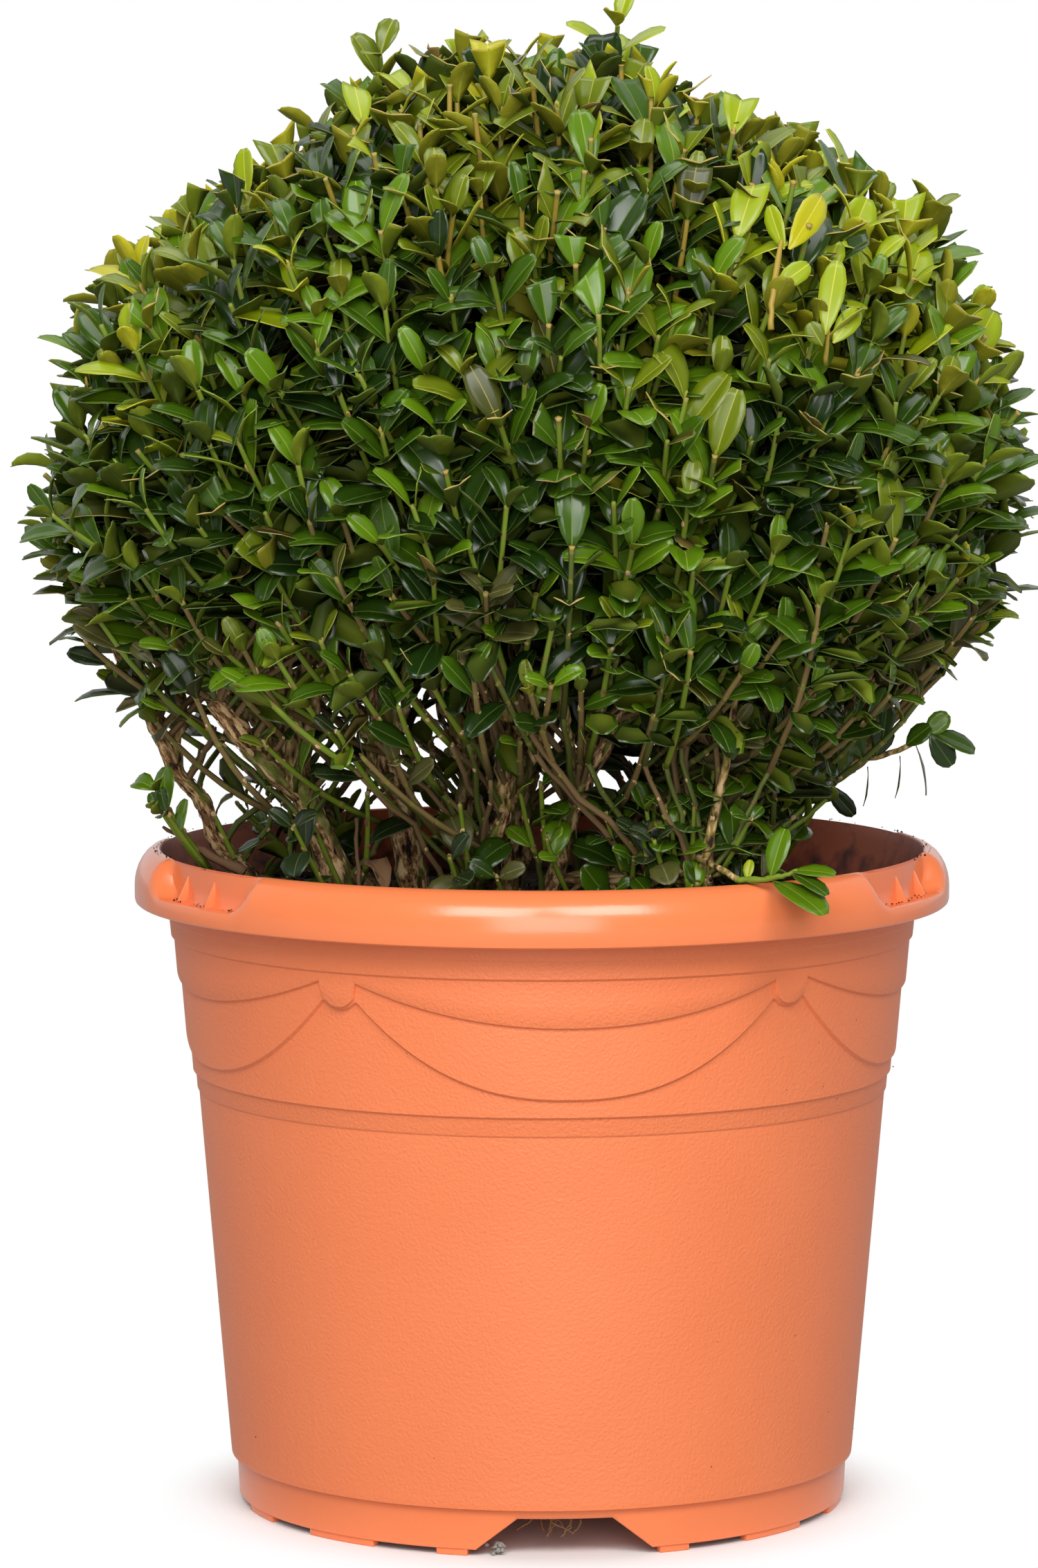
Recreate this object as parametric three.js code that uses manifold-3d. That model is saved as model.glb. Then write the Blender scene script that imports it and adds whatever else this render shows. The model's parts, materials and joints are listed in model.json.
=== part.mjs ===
// A clipped box ball growing in a moulded plastic nursery pot.
// Millimetres, +Z up. The origin is on the floor under the middle of the pot, and the front is -Y.
// Every solid that touches another keeps a clearance to it.
import * as THREE from 'three';
import Module from 'manifold-3d';
import { mergeVertices } from 'three/addons/utils/BufferGeometryUtils.js';

const wasm = await Module();
wasm.setup();

const clearance = 0.3;
const past = 4;                  // how far a cutting tool runs past what it cuts

// ---- driving dimensions of the pot ----
const potHeight = 248.2;
const potSides = 32;             // facets round the pot
const footHeight = 2.5;
const plateUnder = 15;           // underside of the base plate
const plateTop = 17.5;
const skirt = { bottom: 115.0, top: 115.8, inner: 112.4, height: 17.6 };
const lip = { inner: 143.4, crest: 144.6 };
const rimSeam = 145.1;           // radius at which the wall ends and the rim's flange begins
const rim = { radius: 153.5, bottom: 228, skin: 2.2 };
// A grip scooped out of the rim between two angles, in degrees from the front. Its skin lines the hollow.
const scoop = { from: 50.5, to: 74.5, wallRadius: 144.6, floor: 234.5, skin: 2, outer: 152.1, top: 243.8 };
const finAngles = [60, 68.4];
const fin = { root: 1, crest: 0.6, reach: 4.6, height: 9.4, thick: 1.4, sunk: 0.5 };
const notch = { topHalf: 17.5, bottomHalf: 33, height: 14.5, from: 100, to: 120 };   // radii that it spans
const notchTurns = [0, 180];
// Foot pads, in degrees to either side of a notch.
const feet = { inner: 110.4, outer: 114.3, overlap: 0.8, spans: [[18, 24], [37, 53], [66, 78]] };
const drain = { radius: 7, ring: 88, sides: 10 };

// ---- driving dimensions of the soil ----
const soil = { level: 223.5, mound: 3, heap: 11, unevenness: 1.4 };

// ---- driving dimensions of the plant ----
const crown = { centre: 391, across: 181, up: 166, down: 215, under: 105, hollow: 13, lobes: 3.4 };
const limbSides = 6;
const limbSteps = 5;

// Each limb tapers from one radius to the other. bow is how far its middle stands off the straight line.
const stems = {
  stem_far_left: { from: [-104, 9, 226], to: [-160, -2, 326], bow: [-2, 0, -3], radii: [4.2, 2.6] },
  stem_left: { from: [-66, -26, 216], to: [-97, -50, 345], bow: [-12, -4, 2], radii: [5.2, 3.2] },
  stem_front_left: { from: [-44, -14, 216], to: [-66, -34, 330], bow: [-3, -2, 4], radii: [5.4, 3.6] },
  stem_middle: { from: [-26, 12, 216], to: [-20, 24, 322], bow: [-3, 2, 0], radii: [3.4, 2.6] },
  stem_front: { from: [-42, -40, 216], to: [-11, -88, 318], bow: [4, -2, -5], radii: [3.0, 2.2] },
  stem_centre: { from: [-14, -12, 216], to: [4, -4, 322], bow: [-2, 2, 0], radii: [5.0, 3.4] },
  stem_front_right: { from: [-8, -46, 216], to: [24, -106, 316], bow: [-2, -4, 3], radii: [3.4, 2.2] },
  stem_right: { from: [44, 14, 216], to: [134, -16, 314], bow: [5, 1, -6], radii: [5.2, 3.2] },
  stem_inner_right: { from: [26, -6, 216], to: [84, 6, 318], bow: [-2, 0, 5], radii: [4.4, 3.0] },
  stem_right_front: { from: [18, -30, 216], to: [96, -84, 312], bow: [2, -2, -4], radii: [3.8, 2.4] },
  stem_back_left: { from: [-56, 34, 216], to: [-112, 84, 316], bow: [-3, 4, -3], radii: [4.6, 3.0] },
  stem_back: { from: [-16, 46, 216], to: [-24, 122, 316], bow: [0, 3, -4], radii: [4.8, 3.0] },
  stem_back_right: { from: [22, 38, 216], to: [70, 104, 314], bow: [2, 3, -4], radii: [4.6, 2.8] },
  stem_far_right: { from: [60, 44, 216], to: [128, 64, 312], bow: [3, 2, -4], radii: [3.8, 2.4] },
};

// A bough leaves the side of a stem.
const boughs = {
  bough_left: { parent: 'stem_left', from: [-88, -38, 262], to: [-128, -76, 312], bow: [-1, -3, 3],
    radii: [2.8, 2.0] },
  bough_right: { parent: 'stem_right', from: [103, 0, 266], to: [140, -22, 300], bow: [4, -2, -4],
    radii: [2.8, 1.8] },
  bough_low_front: { parent: 'stem_front_right', from: [-2, -58, 240], to: [56, -112, 246], bow: [2, -4, 4],
    radii: [2.0, 1.5] },
};

// Low masses of foliage under the crown: middle, half sizes and a number that sets the unevenness.
const lowMasses = {
  foliage_low_left: { at: [-124, -30, 276], half: [26, 27, 21], seed: 1 },
  foliage_low_front_left: { at: [-80, -76, 269], half: [30, 29, 25], seed: 2 },
  foliage_low_front: { at: [-20, -94, 268], half: [31, 26, 26], seed: 3 },
  foliage_low_front_right: { at: [44, -98, 264], half: [34, 29, 29], seed: 4 },
  foliage_low_right: { at: [88, -46, 266], half: [31, 26, 28], seed: 5 },
  foliage_low_back_right: { at: [84, 68, 269], half: [34, 33, 26], seed: 6 },
  foliage_low_back: { at: [-10, 96, 270], half: [36, 31, 25], seed: 7 },
  foliage_low_back_left: { at: [-94, 54, 269], half: [31, 32, 25], seed: 8 },
};

// Leafy sprays that stand out past the clipped outline.
const sprays = {
  spray_left_tip: { root: [-150, -52, 352], tip: [-193, -84, 386], radius: 11 },
  spray_right_tip: { root: [150, 22, 380], tip: [188.5, 30, 397], radius: 10 },
  spray_top_tip: { root: [20, -8, 530], tip: [28, -12, 565], radius: 10 },
  spray_top_left_tip: { root: [-52, -8, 515], tip: [-62, -12, 554], radius: 10 },
};

const tau = Math.PI * 2;
const radians = (degrees) => degrees * Math.PI / 180;
const mix = (a, b, t) => a + (b - a) * t;

function smoothstep(low, high, x) {
  const t = Math.min(1, Math.max(0, (x - low) / (high - low)));
  return t * t * (3 - 2 * t);
}

// ---- from geometry to solid and back ----

// Six times the volume inside a closed mesh, negative where its faces point inwards.
function signedVolume(position, index) {
  const [a, b, c] = [new THREE.Vector3(), new THREE.Vector3(), new THREE.Vector3()];
  let sum = 0;
  for (let i = 0; i < index.length; i += 3) {
    a.fromBufferAttribute(position, index[i]);
    b.fromBufferAttribute(position, index[i + 1]);
    c.fromBufferAttribute(position, index[i + 2]);
    sum += a.dot(b.cross(c));
  }
  return sum;
}

function toSolid(geometry) {
  geometry.deleteAttribute('normal');
  geometry.deleteAttribute('uv');
  const merged = mergeVertices(geometry, 1e-3);
  const { position } = merged.attributes;
  const index = [];
  for (let i = 0; i < merged.index.count; i += 3) {
    const [a, b, c] = [0, 1, 2].map((corner) => merged.index.getX(i + corner));
    if (a !== b && b !== c && c !== a) index.push(a, b, c);
  }
  if (signedVolume(position, index) < 0) index.reverse();
  return new wasm.Manifold(new wasm.Mesh({
    numProp: 3,
    vertProperties: new Float32Array(position.array),
    triVerts: new Uint32Array(index),
  }));
}

function toMesh(name, solid, material) {
  const { vertProperties, triVerts } = solid.getMesh();
  const geometry = new THREE.BufferGeometry();
  geometry.setAttribute('position', new THREE.BufferAttribute(new Float32Array(vertProperties), 3));
  geometry.setIndex(new THREE.BufferAttribute(new Uint32Array(triVerts), 1));
  geometry.computeVertexNormals();
  const mesh = new THREE.Mesh(geometry, material);
  mesh.name = name;
  return mesh;
}

const joined = (solids) => solids.reduce((whole, piece) => whole.add(piece));
const cutBy = (solid, tools) => tools.reduce((rest, tool) => rest.subtract(tool), solid);

// ---- shapes that more than one piece uses ----

// A curved block between two radii and two angles, in degrees from the front towards the right.
function ringSector(inner, outer, from, to, bottom, top) {
  const start = radians(from - 90);
  const end = radians(to - 90);
  const outline = new THREE.Shape();
  outline.absarc(0, 0, outer, start, end, false);
  outline.absarc(0, 0, inner, end, start, true);
  const segments = Math.max(2, Math.round((to - from) * potSides / 360));
  const geometry = new THREE.ExtrudeGeometry(outline, {
    depth: top - bottom, bevelEnabled: false, curveSegments: segments,
  });
  return toSolid(geometry.translate(0, 0, bottom));
}

// A flat outline in the upright plane that points out from the axis, turned to an angle.
function uprightSlab(points, thick, degrees) {
  const outline = new THREE.Shape(points.map(([out, up]) => new THREE.Vector2(out, up)));
  const geometry = new THREE.ExtrudeGeometry(outline, { depth: thick, bevelEnabled: false });
  geometry.translate(0, 0, -thick / 2).rotateX(Math.PI / 2).rotateZ(radians(degrees - 90));
  return toSolid(geometry);
}

// ---- the pot ----

// Outer radius of the wall under the rim, with its moulded steps.
const wallSteps = [
  [skirt.bottom, footHeight], [skirt.top, skirt.height],
  [117.9, skirt.height + 0.4], [131.2, 164],
  [138.6, 215.2],
  [140.2, 215.6], [141.2, rim.bottom],
  [144.9, 243.4],
];

// Underside of the rim from the wall out and down, then its outside up to the lip.
const rimOutline = [
  [148.6, 241.8], [rim.radius - rim.skin - 0.4, 236], [rim.radius - rim.skin - 0.2, rim.bottom],
  [rim.radius - 0.4, rim.bottom], [rim.radius, 234], [152.4, 240.2],
  [149.8, 244.6], [lip.crest, potHeight],
];

const innerWall = [
  [lip.inner, potHeight - 0.8], [lip.inner - 0.6, 243.4], [138.4, 222],
  [128.1, 160], [skirt.inner + 1.6, plateTop],
];

// Radius of the smooth inside of the wall at a height.
function innerRadius(z) {
  for (let i = 1; i < innerWall.length; i += 1) {
    const [[topR, topZ], [lowR, lowZ]] = [innerWall[i - 1], innerWall[i]];
    if (z >= lowZ) return mix(lowR, topR, (z - lowZ) / (topZ - lowZ));
  }
  return innerWall[innerWall.length - 1][0];
}

function potShell() {
  const profile = [
    [0, plateUnder], [skirt.inner, plateUnder], [skirt.inner, footHeight],
    ...wallSteps, ...rimOutline, ...innerWall, [0, plateTop],
  ];
  const points = profile.map(([r, z]) => new THREE.Vector2(r, z));
  return toSolid(new THREE.LatheGeometry(points, potSides).rotateX(Math.PI / 2));
}

// The four grips in the rim, two on each side: pocket is cut out of liner, and fins stand in it.
function rimGrips() {
  const liners = [];
  const pockets = [];
  const fins = [];
  for (const side of [-1, 1]) {
    for (const behind of [false, true]) {
      const turned = (angle) => side * (behind ? 180 - angle : angle);
      const [from, to] = [turned(scoop.from), turned(scoop.to)].sort((a, b) => a - b);
      liners.push(ringSector(scoop.wallRadius - scoop.skin, scoop.outer, from - 1, to + 1,
        scoop.floor - scoop.skin, scoop.top));
      pockets.push(ringSector(scoop.wallRadius, rim.radius + past, from, to, scoop.floor, potHeight + past));
      for (const angle of finAngles) {
        const root = scoop.wallRadius - fin.root;
        const foot = scoop.floor - fin.sunk;
        const outline = [[root, foot], [root + fin.root + fin.reach, foot],
          [root + fin.crest, foot + fin.height], [root, foot + fin.height]];
        fins.push(uprightSlab(outline, fin.thick, turned(angle)));
      }
    }
  }
  return { liners, pockets, fins };
}

function drainageNotches() {
  const slope = (notch.bottomHalf - notch.topHalf) / (notch.height - footHeight);
  const spread = notch.bottomHalf + slope * (footHeight + past);
  return notchTurns.map((turn) => {
    const outline = new THREE.Shape([
      new THREE.Vector2(-spread, -past), new THREE.Vector2(spread, -past),
      new THREE.Vector2(notch.topHalf, notch.height), new THREE.Vector2(-notch.topHalf, notch.height),
    ]);
    const depth = notch.to - notch.from;
    const geometry = new THREE.ExtrudeGeometry(outline, { depth, bevelEnabled: false });
    geometry.rotateX(Math.PI / 2).translate(0, -notch.from, 0).rotateZ(radians(turn));
    return toSolid(geometry);
  });
}

function footPads() {
  const pads = [];
  for (const turn of notchTurns) {
    for (const [near, far] of feet.spans) {
      for (const [from, to] of [[turn + near, turn + far], [turn - far, turn - near]]) {
        pads.push(ringSector(feet.inner, feet.outer, from, to, 0, footHeight + feet.overlap));
      }
    }
  }
  return pads;
}

function drainHoles() {
  return [0, 90, 180, 270].map((turn) => {
    const hole = new THREE.CylinderGeometry(drain.radius, drain.radius, 8, drain.sides);
    hole.rotateX(Math.PI / 2).translate(0, -drain.ring, (plateUnder + plateTop) / 2).rotateZ(radians(turn));
    return toSolid(hole);
  });
}

// A full disc as wide as given and taller than the pot.
function tallDisc(radius) {
  const geometry = new THREE.CylinderGeometry(radius, radius, potHeight + 2 * past, potSides);
  return toSolid(geometry.rotateX(Math.PI / 2).translate(0, 0, potHeight / 2));
}

// The wall with its base, and the flange of the rim round the top of it.
function potParts() {
  const grips = rimGrips();
  const lined = joined([potShell(), ...grips.liners]);
  const cut = cutBy(lined, [...grips.pockets, ...drainageNotches(), ...drainHoles()]);
  const whole = joined([cut, ...grips.fins, ...footPads()]);
  return { wall: whole.intersect(tallDisc(rimSeam)), flange: whole.subtract(tallDisc(rimSeam + clearance)) };
}

// ---- the soil ----

// Height of the soil: heaped against the left wall, raised round the stems and a little uneven.
function soilHeight(x, y) {
  const r = Math.hypot(x, y);
  const heap = soil.heap * smoothstep(50, 125, -x) * smoothstep(150, 10, Math.abs(y));
  const mound = soil.mound * smoothstep(90, 10, r);
  const bumps = Math.sin(x * 0.11 + 1) * Math.cos(y * 0.13) + 0.6 * Math.sin(x * 0.05 - y * 0.19);
  return soil.level + heap + mound + soil.unevenness * bumps;
}

function soilBody(cutters) {
  const topRings = [1, 0.8, 0.52, 0.26];
  const floorZ = plateTop + clearance;
  const side = (z) => innerRadius(z) - clearance - 0.1;
  const profile = [[0, floorZ], [side(floorZ), floorZ], [side(160), 160], [side(217), 217]];
  topRings.forEach((ring) => profile.push([side(soil.level) * ring, soil.level]));
  profile.push([0, soil.level]);
  const points = profile.map(([r, z]) => new THREE.Vector2(r, z));
  const geometry = new THREE.LatheGeometry(points, potSides / 2).rotateX(Math.PI / 2);
  const { position } = geometry.attributes;
  for (let i = 0; i < position.count; i += 1) {
    if (position.getZ(i) > soil.level - 1) {
      const [x, y] = [position.getX(i), position.getY(i)];
      const z = soilHeight(x, y);
      const wider = side(z) / side(soil.level);
      position.setXYZ(i, x * wider, y * wider, z);
    }
  }
  return cutBy(toSolid(geometry), cutters);
}

// ---- stems and boughs ----

// One tapering limb with closed ends. grow widens and lengthens it, for the room that its neighbours leave.
function limb({ from, to, bow, radii }, grow = 0) {
  const start = new THREE.Vector3(...from);
  const end = new THREE.Vector3(...to);
  const middle = start.clone().lerp(end, 0.5).addScaledVector(new THREE.Vector3(...bow), 2);
  const route = new THREE.QuadraticBezierCurve3(start, middle, end);
  const across = new THREE.Vector3(0, 1, 0);
  const positions = [];
  const index = [];
  for (let step = 0; step <= limbSteps; step += 1) {
    const t = step / limbSteps;
    const tangent = route.getTangent(t);
    const side = new THREE.Vector3().crossVectors(tangent, across).normalize();
    const front = new THREE.Vector3().crossVectors(side, tangent);
    const flare = 1 + 0.35 * (1 - smoothstep(0, 0.22, t));
    const radius = mix(radii[0], radii[1], t) * flare + grow;
    const beyond = grow * ((step === limbSteps ? 1 : 0) - (step === 0 ? 1 : 0));
    const centre = route.getPoint(t).addScaledVector(tangent, beyond);
    for (let k = 0; k < limbSides; k += 1) {
      const angle = k / limbSides * tau;
      const point = centre.clone()
        .addScaledVector(side, radius * Math.cos(angle))
        .addScaledVector(front, radius * Math.sin(angle));
      positions.push(point.x, point.y, point.z);
    }
  }
  for (let step = 0; step < limbSteps; step += 1) {
    for (let k = 0; k < limbSides; k += 1) {
      const [a, b] = [step * limbSides + k, step * limbSides + (k + 1) % limbSides];
      index.push(a, b, a + limbSides, b, b + limbSides, a + limbSides);
    }
  }
  const last = limbSteps * limbSides;
  for (let k = 1; k < limbSides - 1; k += 1) {
    index.push(0, k + 1, k);
    index.push(last, last + k, last + k + 1);
  }
  const geometry = new THREE.BufferGeometry();
  geometry.setAttribute('position', new THREE.Float32BufferAttribute(positions, 3));
  geometry.setIndex(index);
  return toSolid(geometry);
}

// ---- foliage ----

// Gentle lumps over a ball, different for each seed.
function lumps(direction, seed) {
  const { x, y, z } = direction;
  return Math.sin(3.1 * x + 2.3 * y + seed * 1.7) * Math.cos(2.9 * z - 1.9 * x + seed)
    + 0.6 * Math.sin(6.3 * y - 4.7 * z + seed * 2.9) * Math.cos(5.1 * x + seed * 0.7)
    + 0.4 * Math.sin(9.7 * x + 8.3 * z - seed);
}

// Small rises where clipped shoots stand closer together.
function clumps({ x, y, z }) {
  return Math.sin(17 * x + 5 * z) * Math.sin(15 * y - 7 * x) + Math.sin(19 * z + 11 * y) * Math.cos(13 * x);
}

// A ball of triangles pushed out along each direction to the distance that reach gives.
function unevenBall(detail, middle, reach) {
  const geometry = new THREE.IcosahedronGeometry(1, detail);
  const { position } = geometry.attributes;
  const direction = new THREE.Vector3();
  for (let i = 0; i < position.count; i += 1) {
    direction.fromBufferAttribute(position, i).normalize();
    const distance = reach(direction);
    position.setXYZ(i, middle[0] + direction.x * distance, middle[1] + direction.y * distance,
      middle[2] + direction.z * distance);
  }
  return toSolid(geometry);
}

// The clipped ball, with a flat, slightly hollow underside.
function crownBall(grow = 0) {
  return unevenBall(6, [0, 0, crown.centre], (direction) => {
    const flat = Math.hypot(direction.x, direction.y);
    const upright = direction.z > 0 ? crown.up : crown.down;
    const ball = 1 / Math.hypot(flat / crown.across, direction.z / upright);
    const outer = ball + crown.lobes * (0.5 * lumps(direction, 0) + 0.45 * clumps(direction));
    if (direction.z >= -0.05) return outer + grow;
    const depth = crown.under - crown.hollow * smoothstep(0.8, 0, flat);
    const underside = depth / -direction.z + crown.lobes * 0.8 * lumps(direction, 5);
    return Math.min(outer, underside) + grow;
  });
}

function lowMass({ at, half, seed }) {
  return unevenBall(2, at, (direction) => {
    const ball = 1 / Math.hypot(direction.x / half[0], direction.y / half[1], direction.z / half[2]);
    return ball * (1 + 0.1 * lumps(direction, seed));
  });
}

// A slim leafy spray from the crown to a tip.
function spray({ root, tip, radius }) {
  const start = new THREE.Vector3(...root);
  const end = new THREE.Vector3(...tip);
  const length = start.distanceTo(end);
  const geometry = new THREE.SphereGeometry(1, 8, 6);
  geometry.scale(radius, length / 2, radius);
  const turn = new THREE.Quaternion().setFromUnitVectors(new THREE.Vector3(0, 1, 0),
    end.clone().sub(start).normalize());
  const middle = start.lerp(end, 0.5);
  geometry.applyQuaternion(turn).translate(middle.x, middle.y, middle.z);
  return toSolid(geometry);
}

// ---- the whole plant in its pot ----

const materials = {
  pot: new THREE.MeshStandardMaterial({ color: 0xe8794a, roughness: 0.55, metalness: 0 }),
  soil: new THREE.MeshStandardMaterial({ color: 0x2b2320, roughness: 1, metalness: 0 }),
  bark: new THREE.MeshStandardMaterial({ color: 0x7a5a3c, roughness: 0.9, metalness: 0 }),
  foliage: new THREE.MeshStandardMaterial({ color: 0x2c5524, roughness: 0.5, metalness: 0 }),
};

// The largest of the pieces that cutting leaves.
function mainPiece(solid) {
  return solid.decompose().reduce((most, piece) => (piece.volume() > most.volume() ? piece : most));
}

function build() {
  const group = new THREE.Group();
  const add = (name, solid, material) => group.add(toMesh(name, mainPiece(solid), material.clone()));

  const roomForLimbs = [];
  const addLimbs = (limbs) => {
    for (const [name, shape] of Object.entries(limbs)) {
      const solid = limb(shape);
      add(name, shape.parent ? solid.subtract(limb(stems[shape.parent], clearance)) : solid, materials.bark);
      roomForLimbs.push(limb(shape, clearance));
    }
  };

  const pot = potParts();
  add('pot_wall', pot.wall, materials.pot);
  add('pot_rim', pot.flange, materials.pot);
  addLimbs(stems);
  addLimbs(boughs);
  add('soil', soilBody(roomForLimbs), materials.soil);
  add('foliage_crown', cutBy(crownBall(), roomForLimbs), materials.foliage);
  const room = [...roomForLimbs, crownBall(clearance)];
  for (const [name, mass] of Object.entries(lowMasses)) {
    add(name, cutBy(lowMass(mass), room), materials.foliage);
  }
  for (const [name, shape] of Object.entries(sprays)) {
    add(name, cutBy(spray(shape), room), materials.foliage);
  }
  return group;
}

export default build();
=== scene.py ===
import json
import math

import bpy
import numpy as np
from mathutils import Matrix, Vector
from mathutils.bvhtree import BVHTree

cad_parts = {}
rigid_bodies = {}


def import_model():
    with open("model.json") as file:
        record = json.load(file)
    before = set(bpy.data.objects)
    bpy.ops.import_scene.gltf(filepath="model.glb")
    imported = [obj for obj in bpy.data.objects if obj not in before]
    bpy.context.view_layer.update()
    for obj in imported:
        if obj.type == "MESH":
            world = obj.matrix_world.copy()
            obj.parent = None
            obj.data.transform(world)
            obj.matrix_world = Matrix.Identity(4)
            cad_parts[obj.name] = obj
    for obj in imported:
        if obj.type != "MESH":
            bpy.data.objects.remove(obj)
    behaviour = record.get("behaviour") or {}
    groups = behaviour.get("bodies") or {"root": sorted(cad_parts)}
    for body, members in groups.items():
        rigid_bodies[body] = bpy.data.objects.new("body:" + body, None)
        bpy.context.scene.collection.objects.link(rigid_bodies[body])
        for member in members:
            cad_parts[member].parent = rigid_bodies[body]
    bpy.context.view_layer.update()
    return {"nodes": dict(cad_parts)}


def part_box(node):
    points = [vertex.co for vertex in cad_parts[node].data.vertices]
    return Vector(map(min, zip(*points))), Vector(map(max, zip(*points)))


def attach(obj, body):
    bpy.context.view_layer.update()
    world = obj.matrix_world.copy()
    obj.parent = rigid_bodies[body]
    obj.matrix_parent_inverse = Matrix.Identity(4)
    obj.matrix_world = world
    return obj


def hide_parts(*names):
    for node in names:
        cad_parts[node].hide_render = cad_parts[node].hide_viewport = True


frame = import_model()
nodes = frame["nodes"]
mm = 0.001                    # lengths in the dictionaries are in millimetres
chance = np.random.default_rng(1806)
print("frame loaded")


# sRGB hex to the linear values that a socket takes
def linearColour(code):
    values = []
    for start in (1, 3, 5):
        part = int(code[start:start + 2], 16) / 255
        values.append(part / 12.92 if part <= 0.04045 else ((part + 0.055) / 1.055) ** 2.4)
    return (*values, 1.0)


# Adds a node to a material or a world, with its own settings, socket values and links
def addNode(owner, kind, values=None, links=None, **settings):
    node = owner.node_tree.nodes.new(kind)
    for name, value in settings.items():
        setattr(node, name, value)
    for socket, value in (values or {}).items():
        node.inputs[socket].default_value = value
    for socket, source in (links or {}).items():
        owner.node_tree.links.new(source, node.inputs[socket])
    return node


# A Principled material with plain values. Patterns are linked to its shader afterwards.
def newMaterial(name, colour, roughness, **values):
    material = bpy.data.materials.new(name)
    material.use_nodes = True
    shader = material.node_tree.nodes["Principled BSDF"]
    shader.inputs["Base Color"].default_value = linearColour(colour)
    shader.inputs["Roughness"].default_value = roughness
    for socket, value in values.items():
        shader.inputs[socket.replace("_", " ")].default_value = value
    material.diffuse_color = linearColour(colour)
    return material


# Colours along a ramp, as (position, hex) pairs
def fillRamp(node, stops):
    ramp = node.color_ramp
    while len(ramp.elements) < len(stops):
        ramp.elements.new(0.5)
    for element, (position, colour) in zip(ramp.elements, stops):
        element.position = position
        element.color = linearColour(colour)


def link(material, source, socket):
    shader = material.node_tree.nodes["Principled BSDF"]
    material.node_tree.links.new(source, shader.inputs[socket])


# A material that one noise pattern both colours and lifts by so many millimetres. It also gives the outputs
# that a second pattern needs: where the pattern is read, and its colour.
def grainedMaterial(name, colour, roughness, specular, noise, stops, strength, lift, space="Object",
                    stretch=None):
    material = newMaterial(name, colour, roughness, Specular_IOR_Level=specular)
    place = addNode(material, "ShaderNodeTexCoord").outputs[space]
    where = place
    if stretch:
        mapping = addNode(material, "ShaderNodeMapping", values={"Scale": stretch}, links={"Vector": place})
        where = mapping.outputs[0]
    grain = addNode(material, "ShaderNodeTexNoise", values=noise, links={"Vector": where})
    tone = addNode(material, "ShaderNodeValToRGB", links={0: grain.outputs[0]})
    fillRamp(tone, stops)
    link(material, tone.outputs[0], "Base Color")
    bump = addNode(material, "ShaderNodeBump", values={"Strength": strength, "Distance": lift * mm},
                   links={"Height": grain.outputs[0]})
    link(material, bump.outputs[0], "Normal")
    return material, place, tone.outputs[0]


def smooth(low, high, x):
    t = np.clip((x - low) / (high - low), 0, 1)
    return t * t * (3 - 2 * t)


def unit(vectors):
    return vectors / np.maximum(np.linalg.norm(vectors, axis=-1, keepdims=True), 1e-9)


skyward = np.array([0, 0, 1.0])


# A mesh from arrays: points in millimetres, the corners of all faces in one row, and each face's corner count
def meshPiece(name, points, corners, counts, materials, slots=None, smoothFaces=None, uv=None):
    mesh = bpy.data.meshes.new(name)
    mesh.vertices.add(len(points))
    mesh.vertices.foreach_set("co", (np.asarray(points) * mm).astype(np.float32).ravel())
    mesh.loops.add(len(corners))
    mesh.loops.foreach_set("vertex_index", np.asarray(corners, np.int32))
    mesh.polygons.add(len(counts))
    starts = np.concatenate([[0], np.cumsum(counts)[:-1]])
    mesh.polygons.foreach_set("loop_start", starts.astype(np.int32))
    for material in materials:
        mesh.materials.append(material)
    if slots is not None:
        mesh.polygons.foreach_set("material_index", np.asarray(slots, np.int32))
    shaded = np.ones(len(counts), bool) if smoothFaces is None else smoothFaces
    mesh.polygons.foreach_set("use_smooth", shaded)
    if uv is not None:
        layer = mesh.uv_layers.new(name="around")
        layer.data.foreach_set("uv", np.asarray(uv, np.float32).ravel())
    mesh.update(calc_edges=True)
    mesh.validate()
    piece = bpy.data.objects.new(name, mesh)
    bpy.context.scene.collection.objects.link(piece)
    return piece


def finishPiece(piece, slotName, *replaced):
    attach(piece, "root")
    if replaced:
        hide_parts(*replaced)
    return piece


def deselectAll():
    for thing in bpy.context.view_layer.objects:
        thing.select_set(False)


# The camera stands a little to the left of the front and looks slightly down.
camera = {"lens": 150, "away": 2450, "height": 524.1, "leftOfFront": 4.3, "down": 5.89, "aimLeft": 0.2016}


def makeCamera():
    data = bpy.data.cameras.new("camera")
    data.lens = camera["lens"]
    data.sensor_width = 36
    data.clip_start = 0.05
    data.clip_end = 60
    eye = bpy.data.objects.new("camera", data)
    turn = math.radians(camera["leftOfFront"])
    eye.location = Vector((-math.sin(turn), -math.cos(turn), 0)) * camera["away"] * mm
    eye.location.z = camera["height"] * mm
    aim = math.radians(camera["leftOfFront"] - camera["aimLeft"])
    eye.rotation_euler = (math.radians(90 - camera["down"]), 0, -aim)
    bpy.context.scene.collection.objects.link(eye)
    bpy.context.scene.camera = eye


studio = {
    "front": 0.10, "behind": 0.85, "from": -0.32, "to": 0.6, "backdrop": 1.0,
    "floor": "#EFEDEC", "floorGlow": 0.5, "fadeFrom": 0.106, "fadeTo": 0.150,
}

# Large soft boxes: place and aim in metres, side length, and power in watts
softBoxes = {
    "high_left": ((-0.7, -1.9, 1.75), (0, 0, 0.3), 1.0, 31),
    "high_right": ((0.5, -1.9, 1.85), (0, 0, 0.3), 1.0, 33),
    "low_front": ((-0.15, -2.7, 0.75), (0, 0, 0.2), 1.4, 29),
    "overhead": ((0.0, 0.1, 2.2), (0, 0, 0.3), 1.2, 14),
}


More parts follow.
